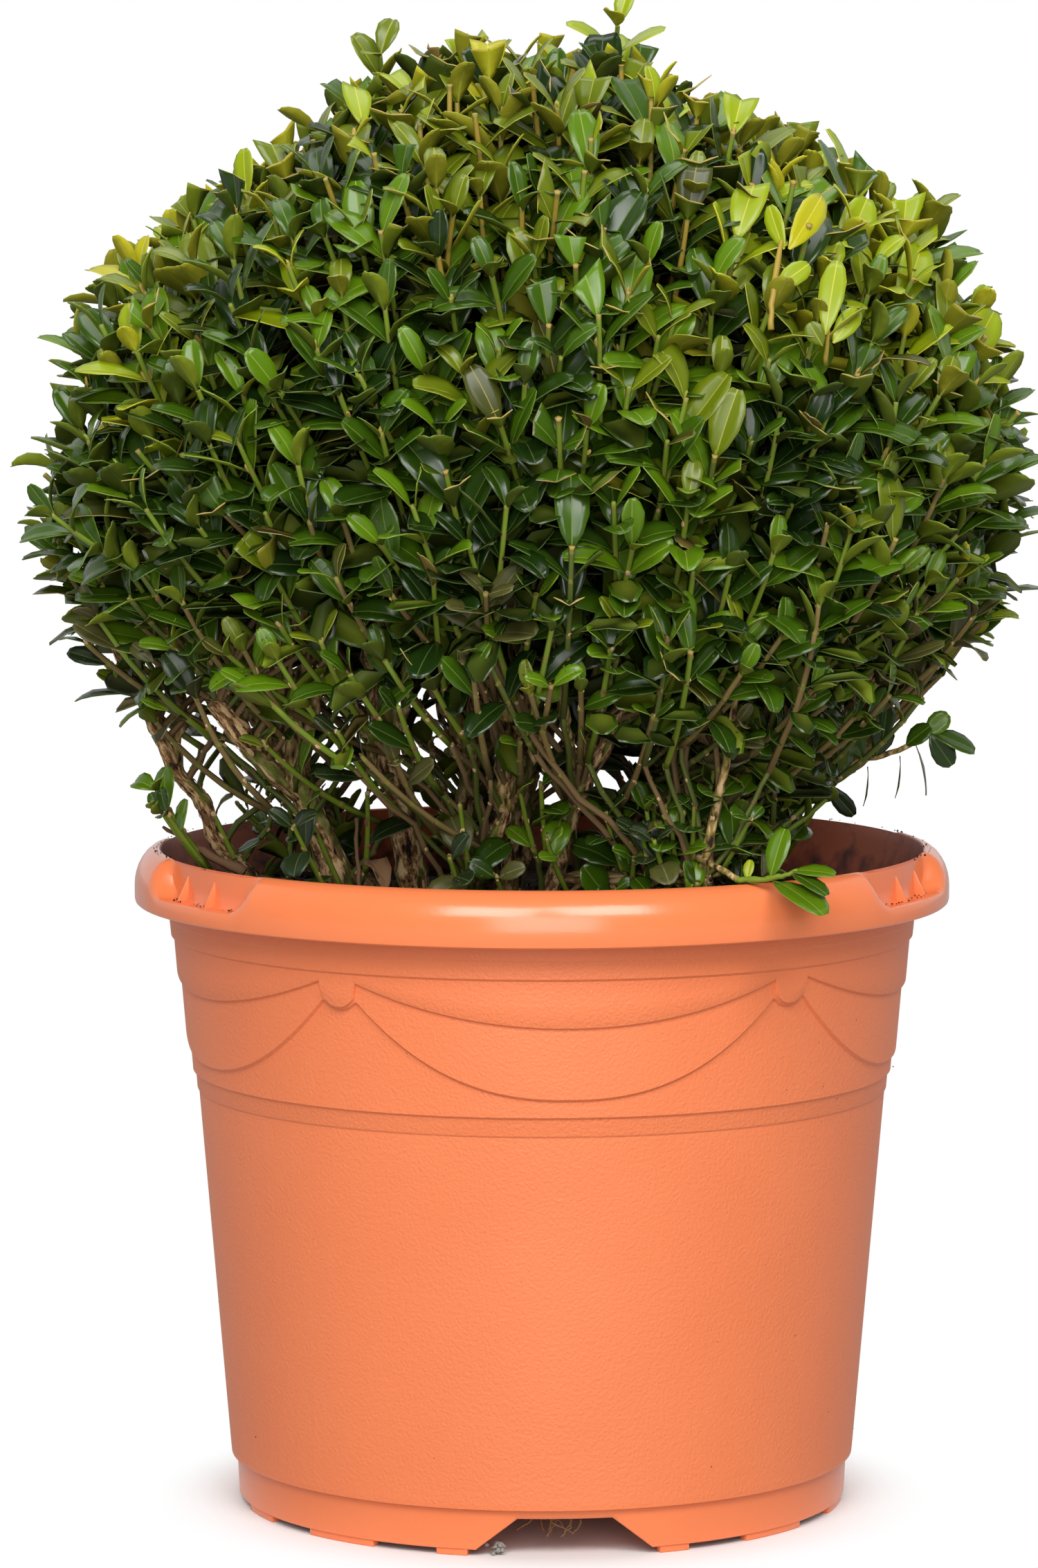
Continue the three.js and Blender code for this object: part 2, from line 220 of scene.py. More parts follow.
# Light from all round is strong behind and weak in front, and the backdrop itself is seen as white paper.
def makeStudio():
    world = bpy.data.worlds.new("studio")
    bpy.context.scene.world = world
    world.use_nodes = True
    world.node_tree.nodes.clear()
    toward = addNode(world, "ShaderNodeTexCoord")
    split = addNode(world, "ShaderNodeSeparateXYZ", links={0: toward.outputs["Generated"]})
    fall = addNode(world, "ShaderNodeMapRange", interpolation_type="SMOOTHSTEP",
                   values={1: studio["from"], 2: studio["to"], 3: studio["front"], 4: studio["behind"]},
                   links={0: split.outputs["Y"]})
    around = addNode(world, "ShaderNodeBackground", values={"Color": (1, 1, 1, 1)},
                     links={"Strength": fall.outputs[0]})
    paper = addNode(world, "ShaderNodeBackground",
                    values={"Color": (1, 1, 1, 1), "Strength": studio["backdrop"]})
    seen = addNode(world, "ShaderNodeLightPath")
    mix = addNode(world, "ShaderNodeMixShader",
                  links={0: seen.outputs["Is Camera Ray"], 1: around.outputs[0], 2: paper.outputs[0]})
    addNode(world, "ShaderNodeOutputWorld", links={0: mix.outputs[0]})
    for name, (place, aim, size, power) in softBoxes.items():
        data = bpy.data.lights.new(name, "AREA")
        data.shape = "SQUARE"
        data.size = size
        data.energy = power
        light = bpy.data.objects.new(name, data)
        light.location = place
        light.rotation_euler = (Vector(aim) - Vector(place)).to_track_quat("-Z", "Y").to_euler()
        bpy.context.scene.collection.objects.link(light)
    bpy.context.scene.view_settings.view_transform = "Standard"


# Pale seamless paper: matt round the pot, and plain white further out
def makeFloor():
    deselectAll()
    bpy.ops.mesh.primitive_circle_add(vertices=96, radius=30, fill_type="NGON", location=(0, 0, 0))
    floor = bpy.context.active_object
    floor.name = "floor"
    paper = newMaterial("seamless_paper", studio["floor"], 0.8)
    place = addNode(paper, "ShaderNodeTexCoord")
    far = addNode(paper, "ShaderNodeVectorMath", links={0: place.outputs["Object"]}, operation="LENGTH")
    fade = addNode(paper, "ShaderNodeMapRange",
                   values={1: studio["fadeFrom"], 2: studio["fadeTo"]}, links={0: far.outputs["Value"]},
                   interpolation_type="SMOOTHSTEP")
    seen = addNode(paper, "ShaderNodeLightPath")
    glow = addNode(paper, "ShaderNodeMapRange", values={3: studio["floorGlow"], 4: studio["backdrop"]},
                   links={0: seen.outputs["Is Camera Ray"]})
    white = addNode(paper, "ShaderNodeEmission", links={"Strength": glow.outputs[0]})
    shader = paper.node_tree.nodes["Principled BSDF"]
    mix = addNode(paper, "ShaderNodeMixShader",
                  links={0: fade.outputs[0], 1: shader.outputs[0], 2: white.outputs[0]})
    paper.node_tree.links.new(mix.outputs[0], paper.node_tree.nodes["Material Output"].inputs["Surface"])
    floor.data.materials.append(paper)


makeCamera()
makeStudio()
makeFloor()
print("studio ready")


# The pot: a thin moulded shell with a rolled rim, two bands and a relief of five hanging swags.
pot = {
    "top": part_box("pot_wall")[1].z / mm, "rimRadius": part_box("pot_rim")[1].x / mm,
    "footHeight": 2.5, "skirtInner": 112.4, "plateUnder": 15, "plateTop": 17.5,
    "drains": 4, "drainRadius": 7, "drainCircle": 88,
    "notchTop": 14.5, "notchTopHalf": 8.69, "notchBottomHalf": 16.4,          # half angles in degrees
    "bandLow": 157.1, "bandHigh": 164.0, "swagTop": 215.0, "wallAtBand": 131.8, "wallSlope": 0.085,
    "relief": 1.35, "tabHalf": 7.7, "tabRadius": 138, "tabs": (-180, -108, -36.7, 36.7, 108, 180),
    "gripFrom": 47.8, "gripFull": 52.8, "gripEnd": 72, "gripStop": 76.8,      # degrees from the front or back
}

# Radius and height across the rim, with as many points where it is whole as where a grip is scooped out of it
underRim = [(141.2, 228), (142.2, 233), (143.6, 239.5), (144.8, 243), (146.4, 243.2), (148.6, 241.8),
            (150.2, 239), (150.9, 235), (151.1, 229), (151.3, 228.2)]
underGrip = [(141.2, 228), (141.8, 230.4), (142.4, 231.8), (143.4, 232.4), (146, 232.4), (148.6, 232.4),
             (150.2, 232.3), (150.9, 231.6), (151.1, 229), (151.3, 228.2)]
overRim = [(151.9, 228), (152.6, 228.1), (153.2, 228.6), (153.45, 229.6), (153.5, 234.2), (153.35, 236.6),
           (152.9, 239), (152.1, 241.4), (150.9, 243.7), (149.3, 245.8), (147.5, 247.2), (145.9, 247.9),
           (144.8, 248.2), (144.1, 248.1), (143.6, 247.7), (143.4, 247)]
overGrip = [(151.9, 228), (152.6, 228.1), (153.2, 228.6), (153.4, 229.5), (153.3, 233.4), (152.9, 234.3),
            (152.1, 234.7), (150.6, 234.6), (148.6, 234.4), (146.6, 234.4), (145.3, 234.8), (144.75, 236),
            (144.6, 240), (144.5, 247), (143.8, 247.8), (143.4, 247)]
insideWall = [(142.9, 243.4), (141.2, 235.5), (138.4, 222), (136.4, 212), (128.1, 160), (114, 17.6)]


# Angles of the shell's columns, in degrees from the front: closer together at tabs, grips and notches
def potColumns():
    spots = [np.arange(-180, 180, 1.0)]
    for tab in pot["tabs"][1:]:
        spots.append(tab + np.arange(-4.4, 4.41, 0.22))
        for side in (-1, 1):
            spots.append(tab + side * np.arange(2.75, 3.36, 0.07))
    for side in (0, 180):
        for sign in (-1, 1):
            spots.append(side + sign * np.arange(pot["gripFrom"], pot["gripFull"] + 1, 0.5))
            spots.append(side + sign * np.arange(pot["gripEnd"] - 0.4, pot["gripStop"] + 0.5, 0.4))
    for turn in (0, 180):
        for half in (pot["notchTopHalf"], pot["notchBottomHalf"]):
            spots.append(turn + np.array([-half - 0.25, -half, half, half + 0.25]))
    wrapped = (np.concatenate(spots) + 180) % 360 - 180
    return np.unique(np.round(wrapped, 2))


# Heights of the two swag lines at an angle from the front, in degrees
def swagLines(angle):
    tabs = np.array(pot["tabs"])
    gap = np.clip(np.searchsorted(tabs, angle) - 1, 0, len(tabs) - 2)
    fromTab = np.minimum(angle - tabs[gap], tabs[gap + 1] - angle)
    across = np.radians(fromTab) * pot["tabRadius"]
    tabHalf = math.degrees(pot["tabHalf"] / pot["tabRadius"])
    halfGap = (tabs[gap + 1] - tabs[gap]) / 2
    u = np.clip(1 - (fromTab - tabHalf) / (halfGap - tabHalf), 0, 1)
    inTab = across < pot["tabHalf"]
    tongue = 210 - np.sqrt(np.maximum(pot["tabHalf"] ** 2 - across ** 2, 0))
    tongue = tongue + 1.6 * smooth(pot["tabHalf"] - 1.1, pot["tabHalf"], across)
    upper = np.where(inTab, tongue, 197.4 + 14.2 * u ** 2.05)
    lower = np.where(inTab, 204.1, 170.9 + 33.2 * u ** 2.4)
    return upper, lower


# Radii and heights of the shell, row by row from the foot up and over the rim and down inside
def potGrid(angles):
    rows = []
    ones = np.ones_like(angles)

    def row(radius, height):
        rows.append((radius * ones, height * ones))

    folded = np.abs((angles + 180) % 360 - 180)
    folded = np.where(folded > 90, 180 - folded, folded)
    grip = smooth(pot["gripFrom"], pot["gripFull"], folded)
    grip = grip * (1 - smooth(pot["gripEnd"], pot["gripStop"], folded))
    fromNotch = np.abs((angles + 90) % 180 - 90)
    slope = (pot["notchBottomHalf"] - fromNotch) / (pot["notchBottomHalf"] - pot["notchTopHalf"])
    foot = pot["footHeight"] + (pot["notchTop"] - pot["footHeight"]) * np.clip(slope, 0, 1)
    inner = pot["skirtInner"]

    row(inner, foot + 0.35)
    row(inner + 0.35, foot)
    row(114.6, foot)
    row(115.0, foot + 0.4)
    row(115.35, (foot + 17) / 2)
    for radius, height in ((115.7, 16.7), (115.8, 17.4), (116.2, 17.7), (117.4, 17.8), (117.85, 18.1)):
        row(radius, height)
    low = pot["bandLow"]
    for share in (0.02, 0.3, 0.6, 0.97, 1):
        height = 18.3 + (low - 0.3 - 18.3) * share
        row(117.9 + (129.6 - 117.9) * share, height)
    row(130.1, low + 0.25)
    row(130.25, low + 0.6)
    high = pot["bandHigh"]
    row(130.7, high - 0.6)
    row(130.85, high - 0.25)
    row(pot["wallAtBand"] - 0.2, high + 0.2)

    upper, lower = swagLines(angles)
    slant = np.gradient(upper, np.radians(angles) * pot["tabRadius"])
    steep = np.sqrt(1 + np.clip(slant, -2.6, 2.6) ** 2)      # keeps the step as wide down the sides of a tab
    lower = np.minimum(lower, upper - 0.9 * steep)
    depth = pot["relief"]

    def wall(height, level):
        row(pot["wallAtBand"] + pot["wallSlope"] * (height - high) + depth * level, height)

    wall(high + 0.5, 0)
    wall((high + lower) / 2, 0)
    for offset, level in ((-0.7, 0), (-0.25, 0.3), (0.1, 0.82), (0.4, 1)):
        wall(lower + offset, level)
    wall((lower + upper) / 2, 1)
    for offset, level in ((-0.45, 1), (-0.2, 1.3), (0.1, 1.82), (0.5, 2)):
        wall(upper + offset * steep, level)
    top = pot["swagTop"]
    wall((top + upper) / 2, 2)
    wall(top - 0.3, 2)
    for radius, height in ((139.5, top + 0.15), (139.9, top + 0.6), (140.5, 221.6), (140.55, 221.9),
                           (140.85, 222.2), (140.95, 222.6)):
        row(radius, height)
    for (r0, z0), (r1, z1) in [*zip(underRim, underGrip), *zip(overRim, overGrip)]:
        rows.append((r0 + (r1 - r0) * grip, z0 + (z1 - z0) * grip))
    insideFrom = len(rows) - 3
    for radius, height in insideWall:
        row(radius, height)
    row(inner + 0.2, pot["plateTop"])
    row(inner, pot["plateUnder"])
    radii = np.array([r for r, _ in rows])
    heights = np.array([z for _, z in rows])
    return radii, heights, insideFrom


# Polypropylene, injection moulded against a finely grained tool: a satin skin with a leathery grain on the
# wall, smoother on the rim and the foot
def potPlastic():
    plastic = newMaterial("terracotta_polypropylene", "#E87C4B", 0.46, Specular_IOR_Level=0.5)
    place = addNode(plastic, "ShaderNodeTexCoord").outputs["Object"]
    split = addNode(plastic, "ShaderNodeSeparateXYZ", links={0: place})
    grain = addNode(plastic, "ShaderNodeTexNoise", values={"Scale": 1 / (1.2 * mm), "Detail": 2.0},
                    links={"Vector": place})               # 0.6 mm grain, drawn at 1.2 mm so that it shows
    above = addNode(plastic, "ShaderNodeMapRange", values={1: 0.017, 2: 0.020, 3: 0.15, 4: 1.0},
                    links={0: split.outputs["Z"]})
    below = addNode(plastic, "ShaderNodeMapRange", values={1: 0.2265, 2: 0.2285, 3: 1.0, 4: 0.08},
                    links={0: split.outputs["Z"]})
    where = addNode(plastic, "ShaderNodeMath", links={0: above.outputs[0], 1: below.outputs[0]},
                    operation="MULTIPLY")
    height = addNode(plastic, "ShaderNodeMath", links={0: grain.outputs[0], 1: where.outputs[0]},
                     operation="MULTIPLY")
    bump = addNode(plastic, "ShaderNodeBump", values={"Strength": 0.95, "Distance": 0.36 * mm},
                   links={"Height": height.outputs[0]})
    link(plastic, bump.outputs[0], "Normal")
    cloud = addNode(plastic, "ShaderNodeTexNoise", values={"Scale": 1 / (60 * mm), "Detail": 2.0},
                    links={"Vector": place})               # faint flow marks some centimetres wide
    tone = addNode(plastic, "ShaderNodeValToRGB", links={0: cloud.outputs[0]})
    fillRamp(tone, [(0.3, "#E67A49"), (0.7, "#EA7E4D")])
    link(plastic, tone.outputs[0], "Base Color")
    rough = addNode(plastic, "ShaderNodeMapRange", values={1: 0.08, 2: 1.0, 3: 0.19, 4: 0.47},
                    links={0: where.outputs[0]})
    link(plastic, rough.outputs[0], "Roughness")
    return plastic


# The same plastic inside, darkened as a whole as painted shade of the pot's inside, dulled by splashed soil
# in patches, and darker still lower down towards the soil
def shadedSoiledPlastic():
    # A darker base than the outside plastic: painted shade
    plastic = newMaterial("shaded_soiled_polypropylene", "#B3573A", 0.5)
    place = addNode(plastic, "ShaderNodeTexCoord").outputs["Object"]
    split = addNode(plastic, "ShaderNodeSeparateXYZ", links={0: place})
    stain = addNode(plastic, "ShaderNodeTexNoise", values={"Scale": 1 / (9 * mm), "Detail": 6.0},
                    links={"Vector": place})
    height = addNode(plastic, "ShaderNodeMapRange", values={1: 0.222, 2: 0.240, 3: -0.25, 4: 0.14},
                     links={0: split.outputs["Z"]})
    total = addNode(plastic, "ShaderNodeMath", links={0: stain.outputs[0], 1: height.outputs[0]},
                    operation="ADD")
    # The ramp's dark reds are painted shade inside the pot; the noise spreads them in patches like soil stain
    tone = addNode(plastic, "ShaderNodeValToRGB", links={0: total.outputs[0]})
    fillRamp(tone, [(0.30, "#54241A"), (0.44, "#A34A2E"), (0.60, "#CC6238")])
    link(plastic, tone.outputs[0], "Base Color")
    return plastic


plastic = potPlastic()
shadedDirtyPlastic = shadedSoiledPlastic()


# A grid is rolled round the axis: its columns go round and its rows follow the profile.
def makePotShell():
    angles = potColumns()
    radii, heights, insideFrom = potGrid(angles)
    rowCount, columnCount = radii.shape
    deselectAll()
    bpy.ops.mesh.primitive_grid_add(x_subdivisions=columnCount, y_subdivisions=rowCount, size=1)
    shell = bpy.context.active_object
    shell.name = "pot_shell"
    mesh = shell.data
    closedAngles = np.append(angles, angles[0] + 360)
    closedRadii = np.vstack([np.hstack([radii, radii[:, :1]]), np.append(radii[0], radii[0, 0])])
    closedHeights = np.vstack([np.hstack([heights, heights[:, :1]]), np.append(heights[0], heights[0, 0])])
    turn = np.radians(closedAngles)[None, :]
    points = np.stack([closedRadii * np.sin(turn), -closedRadii * np.cos(turn), closedHeights], axis=-1)
    mesh.vertices.foreach_set("co", (points * mm).astype(np.float32).ravel())
    mesh.materials.append(plastic)
    mesh.materials.append(shadedDirtyPlastic)
    rowOfFace = np.arange(len(mesh.polygons)) // columnCount
    mesh.polygons.foreach_set("material_index", (rowOfFace >= insideFrom).astype(np.int32))
    mesh.update()
    bpy.ops.object.mode_set(mode="EDIT")
    bpy.ops.mesh.select_all(action="SELECT")
    bpy.ops.mesh.remove_doubles(threshold=0.005 * mm)
    bpy.ops.mesh.normals_make_consistent(inside=False)
    bpy.ops.object.mode_set(mode="OBJECT")
    bpy.ops.object.shade_smooth_by_angle(angle=math.radians(32))
    return finishPiece(shell, "pot_plastic", "pot_wall", "pot_rim")


makePotShell()
print("pot shell ready")


# Base plate inside the foot, with its drain holes
def makePotBase():
    deselectAll()
    thick = pot["plateTop"] - pot["plateUnder"]
    middle = (pot["plateTop"] + pot["plateUnder"]) / 2
    bpy.ops.mesh.primitive_cylinder_add(vertices=96, radius=(pot["skirtInner"] + 0.4) * mm, depth=thick * mm,
                                        location=(0, 0, middle * mm))
    plate = bpy.context.active_object
    plate.name = "pot_base"
    bpy.ops.object.transform_apply(location=True)
    for index in range(pot["drains"]):
        turn = 2 * math.pi * index / pot["drains"]
        spot = Vector((math.sin(turn) * pot["drainCircle"], -math.cos(turn) * pot["drainCircle"], middle))
        bpy.ops.mesh.primitive_cylinder_add(vertices=32, radius=pot["drainRadius"] * mm, depth=4 * thick * mm,
                                            location=spot * mm)
        drill = bpy.context.active_object
        cut = plate.modifiers.new("drain", "BOOLEAN")
        cut.object = drill
        cut.solver = "EXACT"
        bpy.context.view_layer.objects.active = plate
        bpy.ops.object.modifier_apply(modifier=cut.name)
        bpy.data.objects.remove(drill)
    plate.data.materials.append(plastic)
    return finishPiece(plate, "pot_plastic")


feet = {"inner": 110.4, "outer": 114.3, "top": 3.1, "spans": ((18, 24), (37, 53), (66, 78)), "edge": 0.5}


# Foot pads: a small upright rectangle is spun a few degrees round the axis.
def makeFeet():
    pads = []
    for turn in (0, 180):
        for near, far in feet["spans"]:
            for start, stop in ((turn + near, turn + far), (turn - far, turn - near)):
                deselectAll()
                size = (feet["outer"] - feet["inner"]) * mm
                bpy.ops.mesh.primitive_plane_add(size=1, location=(0, 0, 0))
                pad = bpy.context.active_object
                pad.scale = (size, feet["top"] * mm, 1)
                pad.rotation_euler = (math.radians(90), 0, math.radians(start - 90))
                bearing = math.radians(start)
                middle = (feet["outer"] + feet["inner"]) / 2 * mm
                pad.location = (middle * math.sin(bearing), -middle * math.cos(bearing), feet["top"] / 2 * mm)
                bpy.ops.object.transform_apply(location=True, rotation=True, scale=True)
                bpy.ops.object.mode_set(mode="EDIT")
                bpy.ops.mesh.select_all(action="SELECT")
                bpy.ops.mesh.spin(steps=max(2, round((stop - start) / 2)), angle=-math.radians(stop - start),
                                  center=(0, 0, 0), axis=(0, 0, 1))
                bpy.ops.mesh.select_all(action="SELECT")
                bpy.ops.mesh.remove_doubles(threshold=0.001 * mm)
                bpy.ops.mesh.normals_make_consistent(inside=False)
                bpy.ops.object.mode_set(mode="OBJECT")
                pads.append(pad)
    joinPieces("pot_feet", pads, plastic, feet["edge"])


# Joins finished parts into one piece, with a small round on their edges
def joinPieces(name, parts, material, edge):
    deselectAll()
    for part in parts:
        part.select_set(True)
    bpy.context.view_layer.objects.active = parts[0]
    bpy.ops.object.join()
    whole = bpy.context.active_object
    whole.name = name
    rounding = whole.modifiers.new("edges", "BEVEL")
    rounding.width = edge * mm
    rounding.segments = 2
    rounding.limit_method = "ANGLE"
    bpy.ops.object.modifier_apply(modifier=rounding.name)
    bpy.ops.object.shade_smooth_by_angle(angle=math.radians(35))
    whole.data.materials.clear()
    whole.data.materials.append(material)
    return finishPiece(whole, "pot_plastic")


fin = {
    "angles": (60, 68.4), "root": 144.0, "reach": 5.3, "foot": 234.2, "height": 9.6, "thick": 1.1, "top": 0.6,
    "edge": 0.25,
}


# Two stiffening fins stand in each of the four grips: a cube with its top edge drawn in over the root.
def makeFins():
    fins = []
    for side in (-1, 1):
        for behind in (False, True):
            for angle in fin["angles"]:
                deselectAll()
                bpy.ops.mesh.primitive_cube_add(size=1, location=(0, 0, 0))
                web = bpy.context.active_object
                web.scale = (fin["thick"] * mm, fin["reach"] * mm, fin["height"] * mm)
                bpy.ops.object.transform_apply(scale=True)
                for vertex in web.data.vertices:
                    if vertex.co.z > 0:
                        vertex.co.y = (fin["reach"] / 2 - (fin["top"] if vertex.co.y < 0 else 0)) * mm
                        vertex.co.x *= 0.7
                bearing = math.radians(side * (180 - angle if behind else angle))
                middle = (fin["root"] + fin["reach"] / 2) * mm
                web.rotation_euler = (0, 0, bearing)
                web.location = (middle * math.sin(bearing), -middle * math.cos(bearing),
                                (fin["foot"] + fin["height"] / 2) * mm)
                bpy.ops.object.transform_apply(location=True, rotation=True)
                fins.append(web)
    joinPieces("rim_fins", fins, plastic, fin["edge"])


makePotBase()
makeFeet()
makeFins()
print("pot ready")


# Random heights on a lattice, blended between its points; u wraps round after period
def valueNoise(u, v, seed, period=None):
    lattice = np.random.default_rng(seed).random((64, 256))
    u0, v0 = np.floor(u).astype(int), np.floor(v).astype(int)
    fu, fv = u - u0, v - v0
    fu, fv = fu * fu * (3 - 2 * fu), fv * fv * (3 - 2 * fv)
    wrap = period or 64
    a = lattice[u0 % wrap % 64, v0 % 256]
    b = lattice[(u0 + 1) % wrap % 64, v0 % 256]
    c = lattice[u0 % wrap % 64, (v0 + 1) % 256]
    d = lattice[(u0 + 1) % wrap % 64, (v0 + 1) % 256]
    return (a * (1 - fu) + b * fu) * (1 - fv) + (c * (1 - fu) + d * fu) * fv


# Middle line and thickness of a CAD limb: its corners lie in six rings along it.
def limbRoute(name):
    corners = np.array([v.co[:] for v in nodes[name].data.vertices]) / mm
    corners = np.unique(np.round(corners, 3), axis=0)
    middle = corners.mean(0)
    along = np.linalg.svd(corners - middle)[2][0]
    along = along if along[2] > 0 else -along
    order = corners[np.argsort((corners - middle) @ along)]
    rings = np.array_split(order, 6)
    centres = np.array([ring.mean(0) for ring in rings])
    radii = np.array([np.linalg.norm(ring - ring.mean(0), axis=1).mean() for ring in rings])
    return centres, radii


# Points at even steps along a smooth line through a few given ones
def resample(points, count):
    points = np.asarray(points, float)
    padded = np.vstack([2 * points[0] - points[1], points, 2 * points[-1] - points[-2]])
    t = np.linspace(0, len(points) - 1, count)
    k = np.minimum(t.astype(int), len(points) - 2)
    f = (t - k)[:, None]
    p0, p1, p2, p3 = (padded[k + i] for i in range(4))
    return 0.5 * (2 * p1 + (p2 - p0) * f + (2 * p0 - 5 * p1 + 4 * p2 - p3) * f ** 2
                  + (3 * p1 - p0 - 3 * p2 + p3) * f ** 3)


# Rings of points round many lines at once. Lines run (line, step, xyz), and radii (line, step), or
# (line, step, side) where the wood isn't round.
def tubeRings(lines, radii, sides):
    tangents = unit(np.gradient(lines, axis=1))
    rough = np.array([0.31, 0.83, 0.12])
    across = unit(np.cross(tangents, rough))
    front = np.cross(across, tangents)
    turn = np.arange(sides) / sides * 2 * np.pi
    if radii.ndim == 2:
        radii = radii[:, :, None]
    spread = (across[:, :, None] * np.cos(turn)[:, None] + front[:, :, None] * np.sin(turn)[:, None])
    return lines[:, :, None] + spread * radii[..., None]


# Corner list of tubes with closed ends, for rings laid out as tubeRings does
def tubeFaces(lineCount, steps, sides):
    ring = np.arange(sides)
    step = np.arange(steps - 1)[:, None]
    a = step * sides + ring
    b = step * sides + (ring + 1) % sides
    quads = np.stack([b, a, a + sides, b + sides], axis=-1).reshape(-1)
    caps = np.concatenate([ring, (steps - 1) * sides + ring[::-1]])
    template = np.concatenate([quads, caps])
    counts = np.concatenate([np.full((steps - 1) * sides, 4), [sides, sides]])
    shift = np.arange(lineCount)[:, None] * steps * sides
    return (template + shift).reshape(-1), np.tile(counts, lineCount)


# Box bark: brown, cracked along the stem and peeling in flakes, paler where a flake has come away
def barkMaterial():
    bark, around, brown = grainedMaterial(
        "box_bark", "#6F5138", 0.85, 0.3,
        {"Scale": 0.45, "Detail": 7.0, "Roughness": 0.72},     # cracks about 2 mm apart: UV is in millimetres
        [(0.38, "#150B07"), (0.45, "#5A3D28"), (0.51, "#A67C4C"), (0.57, "#E0BE8E")],
        1.0, 0.9, "UV", (1.0, 0.3, 1.0))
    strips = addNode(bark, "ShaderNodeMapping", values={"Scale": (0.2, 0.035, 1.0)}, links={"Vector": around})
    where = addNode(bark, "ShaderNodeTexNoise", values={"Scale": 1.0, "Detail": 2.0},
                    links={"Vector": strips.outputs[0]})       # strips of green algae some centimetres long
    green = addNode(bark, "ShaderNodeMapRange", values={1: 0.52, 2: 0.6, 3: 0.0, 4: 0.75},
                    links={0: where.outputs[0]})
    both = addNode(bark, "ShaderNodeMix", data_type="RGBA", links={0: green.outputs[0], 6: brown})
    both.inputs[7].default_value = linearColour("#67782B")
    link(bark, both.outputs[2], "Base Color")
    return bark


bark = barkMaterial()
stemNames = sorted(name for name in nodes if name.startswith("stem_"))
boughNames = sorted(name for name in nodes if name.startswith("bough_"))
stemShape = {
    "steps": 84, "sides": 20, "ridge": 0.24, "fineRidge": 0.216, "knot": 0.21, "knotEvery": 17, "lump": 0.25,
    "wander": 3.4, "thickness": 1.0,
    "thicknessOf": {"stem_far_left": 0.85, "stem_left": 1.05, "stem_front_left": 1.1, "bough_low_front": 0.34,
                    "bough_right": 0.8, "bough_left": 0.6},
    "shift": {"bough_right": (-11, 2, 2)},
}


# Relief of the bark, as a factor of the radius: ridges, finer ones, knots where leaves once stood, and lumps
def barkRelief(length, sides, steps, seed):
    turn = np.arange(sides)[None, :]
    along = np.linspace(0, length, steps)[:, None]
    ridges = valueNoise(turn * 9 / sides, along / 11, seed, period=9) - 0.5
    fine = valueNoise(turn * 1.0, along / 2.3, seed + 1, period=sides) - 0.5
    phase = np.random.default_rng(seed).random() * 6
    knots = np.exp(-(((along + phase * 3) % stemShape["knotEvery"] - 8) / 2.2) ** 2)
    lump = valueNoise(turn * 4 / sides, along / 30, seed + 2, period=4) - 0.5
    return (1 + 1.5 * stemShape["ridge"] * ridges + stemShape["fineRidge"] * fine + stemShape["knot"] * knots
            + stemShape["lump"] * lump)


def stemThickness(name):
    return stemShape["thicknessOf"].get(name, stemShape["thickness"])


# Every stem and bough is a ringed tube along its CAD solid's middle line.
def makeStems():
    routes = {name: limbRoute(name) for name in stemNames + boughNames}
    steps, sides = stemShape["steps"], stemShape["sides"]
    lines, radii, lengths = [], [], []
    for index, name in enumerate(stemNames + boughNames):
        centres, thick = routes[name]
        if name in boughNames:                  # the bough starts inside the stem that carries it
            parents = np.vstack([routes[stem][0] for stem in stemNames])
            near = parents[np.argmin(np.linalg.norm(parents - centres[0], axis=1))]
            start = centres[0] + (centres[0] - centres[1]) * 0.45
            if np.linalg.norm(near - start) < 9:
                start = start * 0.7 + near * 0.3
            centres = np.vstack([start, centres])
            thick = np.append(thick[1], thick)
        move = np.array(stemShape["shift"].get(name, (0, 0, 0)))
        line = resample(centres + move * np.linspace(0.6, 1, len(centres))[:, None], steps)
        length = np.linalg.norm(np.diff(line, axis=0), axis=1).sum()
        t = np.linspace(0, 1, steps)
        wander = np.stack([valueNoise(t * length / 16, np.full(steps, 3.0 * k + index), 40 + k) - 0.5
                           for k in range(3)], axis=-1)
        lines.append(line + wander * stemShape["wander"] * np.sin(np.pi * t)[:, None])
        lengths.append(length)
        radius = np.interp(t, np.linspace(0, 1, len(thick)), thick) * stemThickness(name)
        radii.append(radius[:, None] * barkRelief(length, sides, steps, 100 + 7 * index))
    lines = np.array(lines)
    rings = tubeRings(lines, np.array(radii), sides)
    corners, counts = tubeFaces(len(lines), steps, sides)
    around = np.broadcast_to(np.arange(sides) * 1.2, (len(lines), steps, sides))
    along = np.array(lengths)[:, None, None] * np.linspace(0, 1, steps)[None, :, None]
    along = np.broadcast_to(along + np.arange(len(lines))[:, None, None] * 53, (len(lines), steps, sides))
    uv = np.stack([around, along], axis=-1).reshape(-1, 2)[corners]
    piece = meshPiece("stems_and_boughs", rings.reshape(-1, 3), corners, counts, [bark], uv=uv)
    finishPiece(piece, "bark", *stemNames, *boughNames)
    return {name: (lines[i], routes[name][1]) for i, name in enumerate(stemNames + boughNames)}


limbs = makeStems()
print("stems ready")


# The ball of sprays. A trim is a way in which the ball stands out, or less than 0 falls short, by so much.
growth = {
    "heartBelowTop": 167, "focus": (0, 0, 226), "sprays": 900, "clipped": 0.13, "clippedOnTop": 0.34,
    "drawnIn": 6, "lean": 0.38, "length": (52, 78), "spacing": (10, 14.5), "pairs": 5,
    "leafLength": (23, 31), "leafShare": (0.42, 0.53), "opening": (0.4, 0.84),
    "clippedInset": (0, 6), "inset": (3, 13), "proud": 0.14, "proudBy": (4, 12),
    "trims": (((-1, -0.1, 0.34), 9), ((-0.72, 0, 0.72), -9), ((0.6, 0, 0.8), -5), ((1, 0, 0.35), 4),
              ((-0.94, 0, -0.38), 8)),
}
heart = np.array([0, 0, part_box("foliage_crown")[1].z / mm - growth["heartBelowTop"]])


